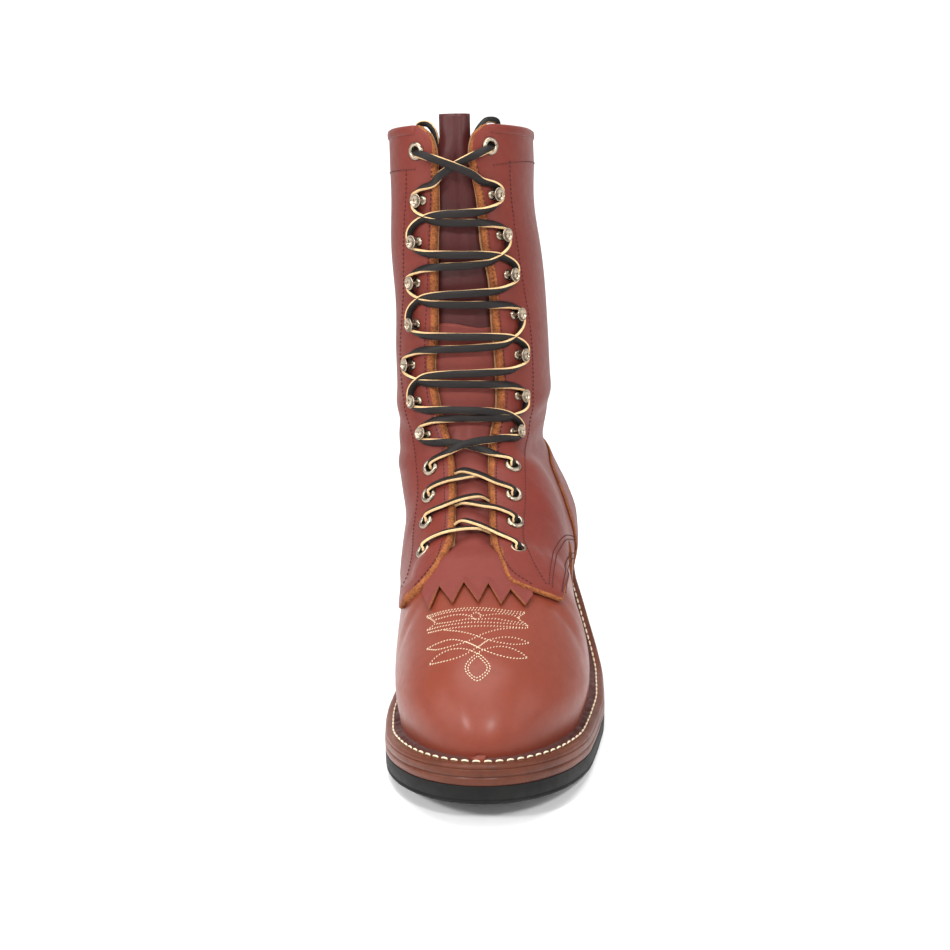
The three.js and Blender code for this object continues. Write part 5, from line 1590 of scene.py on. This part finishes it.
SEAMS = [
    [
        (409, 168), (409, 200), (407, 260), (404, 330), (405, 380), (411, 420), (417, 450), (421, 490),
        (417, 530), (415, 560), (407, 590)
    ],
    [
        (507, 160), (512, 230), (521, 290), (526, 320), (530, 370), (528, 420), (523, 450), (524, 500),
        (522, 540), (530, 565), (543, 590)
    ],
    [
        (433, 165), (431, 240), (428, 300), (427, 350), (430, 400), (443, 450), (446, 500), (446, 530),
        (440, 562), (420, 590)
    ],
    [
        (476, 165), (484, 210), (489, 260), (498, 320), (503, 370), (505, 400), (499, 430), (496, 470),
        (496, 520), (499, 552), (510, 575), (530, 590)
    ],
]
rows = [stitches(seen(catmull(line, 90), QUARTER + 0.12), *SEAM_STITCH) for line in SEAMS]
CORNER = [
    [
        (574, 538), (563, 536), (555, 545), (548, 562), (545, 590)
    ], [(574, 541), (564, 540), (558, 548), (551, 565), (548, 593)],
    [(574, 551), (566, 556), (561, 570), (557, 597)], [(575, 555), (568, 560), (564, 572), (560, 598)],
]
rows += [stitches(seen(catmull(line, 40), QUARTER + 0.15), *SEAM_STITCH) for line in CORNER]
collar = loop - np.array([0, 0, 1]) * (22.5 - 6 * ease(-20, 30, loop[:, :1]))
collar = cross(collar + loop_n * 14, collar - loop_n * 14)
collar = collar[from_throat(collar) > 10]
rows += [stitches(lift(collar, QUARTER + 0.12), 2.3, 1.5, 0.28)]
piece("quarter_stitches", *joined(rows), seam_thread, ("upper",), "upper_leather")
TOE = [
    [
        (426.7, 616.7), (442.8, 611.7), (459.4, 608.9), (476.1, 608.1), (492.8, 609.0), (509.4, 611.1),
        (525.2, 612.6)
    ],
    [
        (427.4, 618.6), (442.8, 613.7), (459.4, 610.9), (476.1, 610.2), (492.8, 611.0), (509.4, 613.1),
        (524.4, 614.6)
    ],
    [(435.0, 620.0), (451.7, 615.6), (462.8, 614.8), (470.6, 616.3)],
    [(481.7, 615.9), (499.4, 613.9), (512.8, 615.2), (518.9, 618.6)],
    [(470.6, 616.1), (475.6, 612.2), (481.1, 615.9), (476.1, 620.0), (470.6, 616.1)],
    [(436.1, 624.1), (448.3, 622.6), (459.4, 620.6), (470.6, 618.8), (476.1, 619.7)],
    [(477.2, 619.7), (492.8, 618.8), (509.4, 621.2), (526.1, 624.1)],
    [(426.7, 630.8), (442.8, 626.3), (465.0, 623.0), (481.7, 622.3), (503.9, 623.4), (527.4, 625.4)],
    [(427.8, 633.3), (442.8, 630.0), (459.4, 627.4), (481.7, 626.1), (503.9, 626.6), (526.7, 628.3)],
    [(426.7, 616.7), (433.3, 620.8), (435.0, 624.1), (426.7, 630.8)],
    [(525.2, 612.6), (518.3, 618.6), (527.4, 625.4), (526.7, 628.3)],
    [
        (443.9, 630.3), (459.4, 631.7), (472.8, 634.8), (481.7, 638.1), (490.6, 640.8), (501.7, 643.0),
        (515.0, 644.6), (529.4, 643.3)
    ],
    [
        (526.7, 628.3), (509.4, 628.3), (495.0, 630.3), (482.8, 634.1), (475.0, 637.8), (465.0, 642.6),
        (451.7, 646.3), (437.2, 650.0), (426.7, 649.4)
    ],
    [
        (477.2, 648.3), (481.7, 644.4), (487.2, 640.8), (496.1, 638.3), (507.2, 637.2), (518.3, 638.9),
        (529.4, 643.3)
    ],
    [(478.9, 648.1), (470.6, 643.9), (459.4, 640.6), (449.4, 640.0), (437.2, 643.9), (426.7, 649.4)],
    [(429.4, 665.0), (436.1, 657.2), (447.2, 650.8), (458.3, 648.8), (468.3, 650.0), (478.9, 654.4)],
    [(429.4, 665.0), (448.3, 660.6), (461.7, 656.3), (470.6, 651.4), (479.4, 646.1), (487.2, 640.8)],
    [
        (527.4, 658.3), (520.6, 652.8), (510.6, 648.3), (500.6, 646.6), (490.6, 647.8), (481.7, 650.8),
        (476.1, 654.4)
    ],
    [
        (527.4, 658.3), (515.0, 658.6), (501.7, 656.3), (490.6, 652.8), (481.7, 649.4), (472.8, 645.0),
        (465.0, 641.7)
    ],
    [
        (477.8, 653.3), (470.6, 658.6), (465.8, 665.0), (465.6, 670.8), (469.7, 676.3), (476.9, 681.2),
        (484.1, 676.8), (489.4, 670.8), (489.4, 665.0), (483.9, 658.1), (477.8, 653.3)
    ],
    [
        (477.8, 655.9), (472.2, 660.8), (468.3, 666.1), (468.3, 670.8), (471.4, 675.0), (476.9, 678.3),
        (482.2, 675.0), (486.7, 670.8), (486.7, 665.6), (482.2, 660.3), (477.8, 655.9)
    ],
]
toe_rows = []
for i, line in enumerate(TOE):
    lean, size = (0.3, 0.85) if i > 17 else (1.15, 0.62) if i < 11 else (0.85, 0.7)
    toe_rows.append(stitches(seen(catmull(line, 120), 0.1), 1.55, size, 0.25, lean=lean))
piece("toe_stitches", *joined(toe_rows), thread, ("upper",), "upper_leather")

# %% [markdown]
# ## Floor and light
# The photo was taken in a light studio: an almost white floor that runs up into the background, a
# broad soft light from above and the front, and a weaker one from each side.

# %% Stage
floor_material = Finish("floor").done(Base_Color=(0.9, 0.9, 0.9), Roughness=0.9)
bend = np.linspace(0, math.pi / 2, 12)
sweep_y = np.concatenate([[-3000], 900 + 500 * np.sin(bend), [1400]])
sweep_z = np.concatenate([[-0.3], -0.3 + 500 * (1 - np.cos(bend)), [3000]])
cols = np.array([-3000.0, 3000.0])
floor_points = np.stack([np.repeat(cols, len(sweep_y)), np.tile(sweep_y, 2), np.tile(sweep_z, 2)], 1)
k = np.arange(len(sweep_y) - 1)
floor_mesh = bpy.data.meshes.new("floor")
floor_mesh.from_pydata(
    (floor_points * MM).tolist(), [], np.stack([k, k + len(sweep_y), k + len(sweep_y) + 1, k + 1], 1).tolist()
)
floor_mesh.polygons.foreach_set("use_smooth", [True] * len(floor_mesh.polygons))
floor_mesh.materials.append(floor_material)
floor = bpy.data.objects.new("floor", floor_mesh)
bpy.context.scene.collection.objects.link(floor)


def lamp(name, place, aim, size, watts, color=(1, 1, 1)):
    """A square soft light at place, turned to aim, both in mm."""
    data = bpy.data.lights.new(name, "AREA")
    data.shape, data.size, data.energy, data.color = "SQUARE", size * MM, watts, color
    obj = bpy.data.objects.new(name, data)
    bpy.context.scene.collection.objects.link(obj)
    way = Vector(aim) - Vector(place)
    obj.matrix_world = Matrix.Translation(Vector(place) * MM) @ way.to_track_quat("-Z", "Y").to_matrix().to_4x4()
    return obj


lamp("top", (-100, -250, 1500), (0, -80, 100), 1200, 23)
lamp("front_left", (-1300, -700, 700), (0, -80, 120), 900, 9)
lamp("front_right", (1300, -600, 700), (0, -80, 120), 900, 8)


def glint(name, place, size, watts, far=1300):
    """A lamp that shines back to the camera from the leather at a place of the picture."""
    spot_on = seen([place], 0)[0]
    view = EYE - spot_on
    view = view / np.linalg.norm(view)
    n = normals(spot_on[None])[0]
    mirrored = 2 * (n @ view) * n - view
    return lamp(name, tuple(spot_on + mirrored * far), tuple(spot_on), size, watts)


glint("toe_left", (466, 723), 120, 8.5)
glint("toe_right", (491, 725), 120, 8.5)
world = bpy.data.worlds.new("studio")
world.use_nodes = True
world.node_tree.nodes["Background"].inputs["Color"].default_value = (1, 1, 1, 1)
world.node_tree.nodes["Background"].inputs["Strength"].default_value = 0.4
bpy.context.scene.world = world
bpy.context.scene.view_settings.view_transform = "Standard"
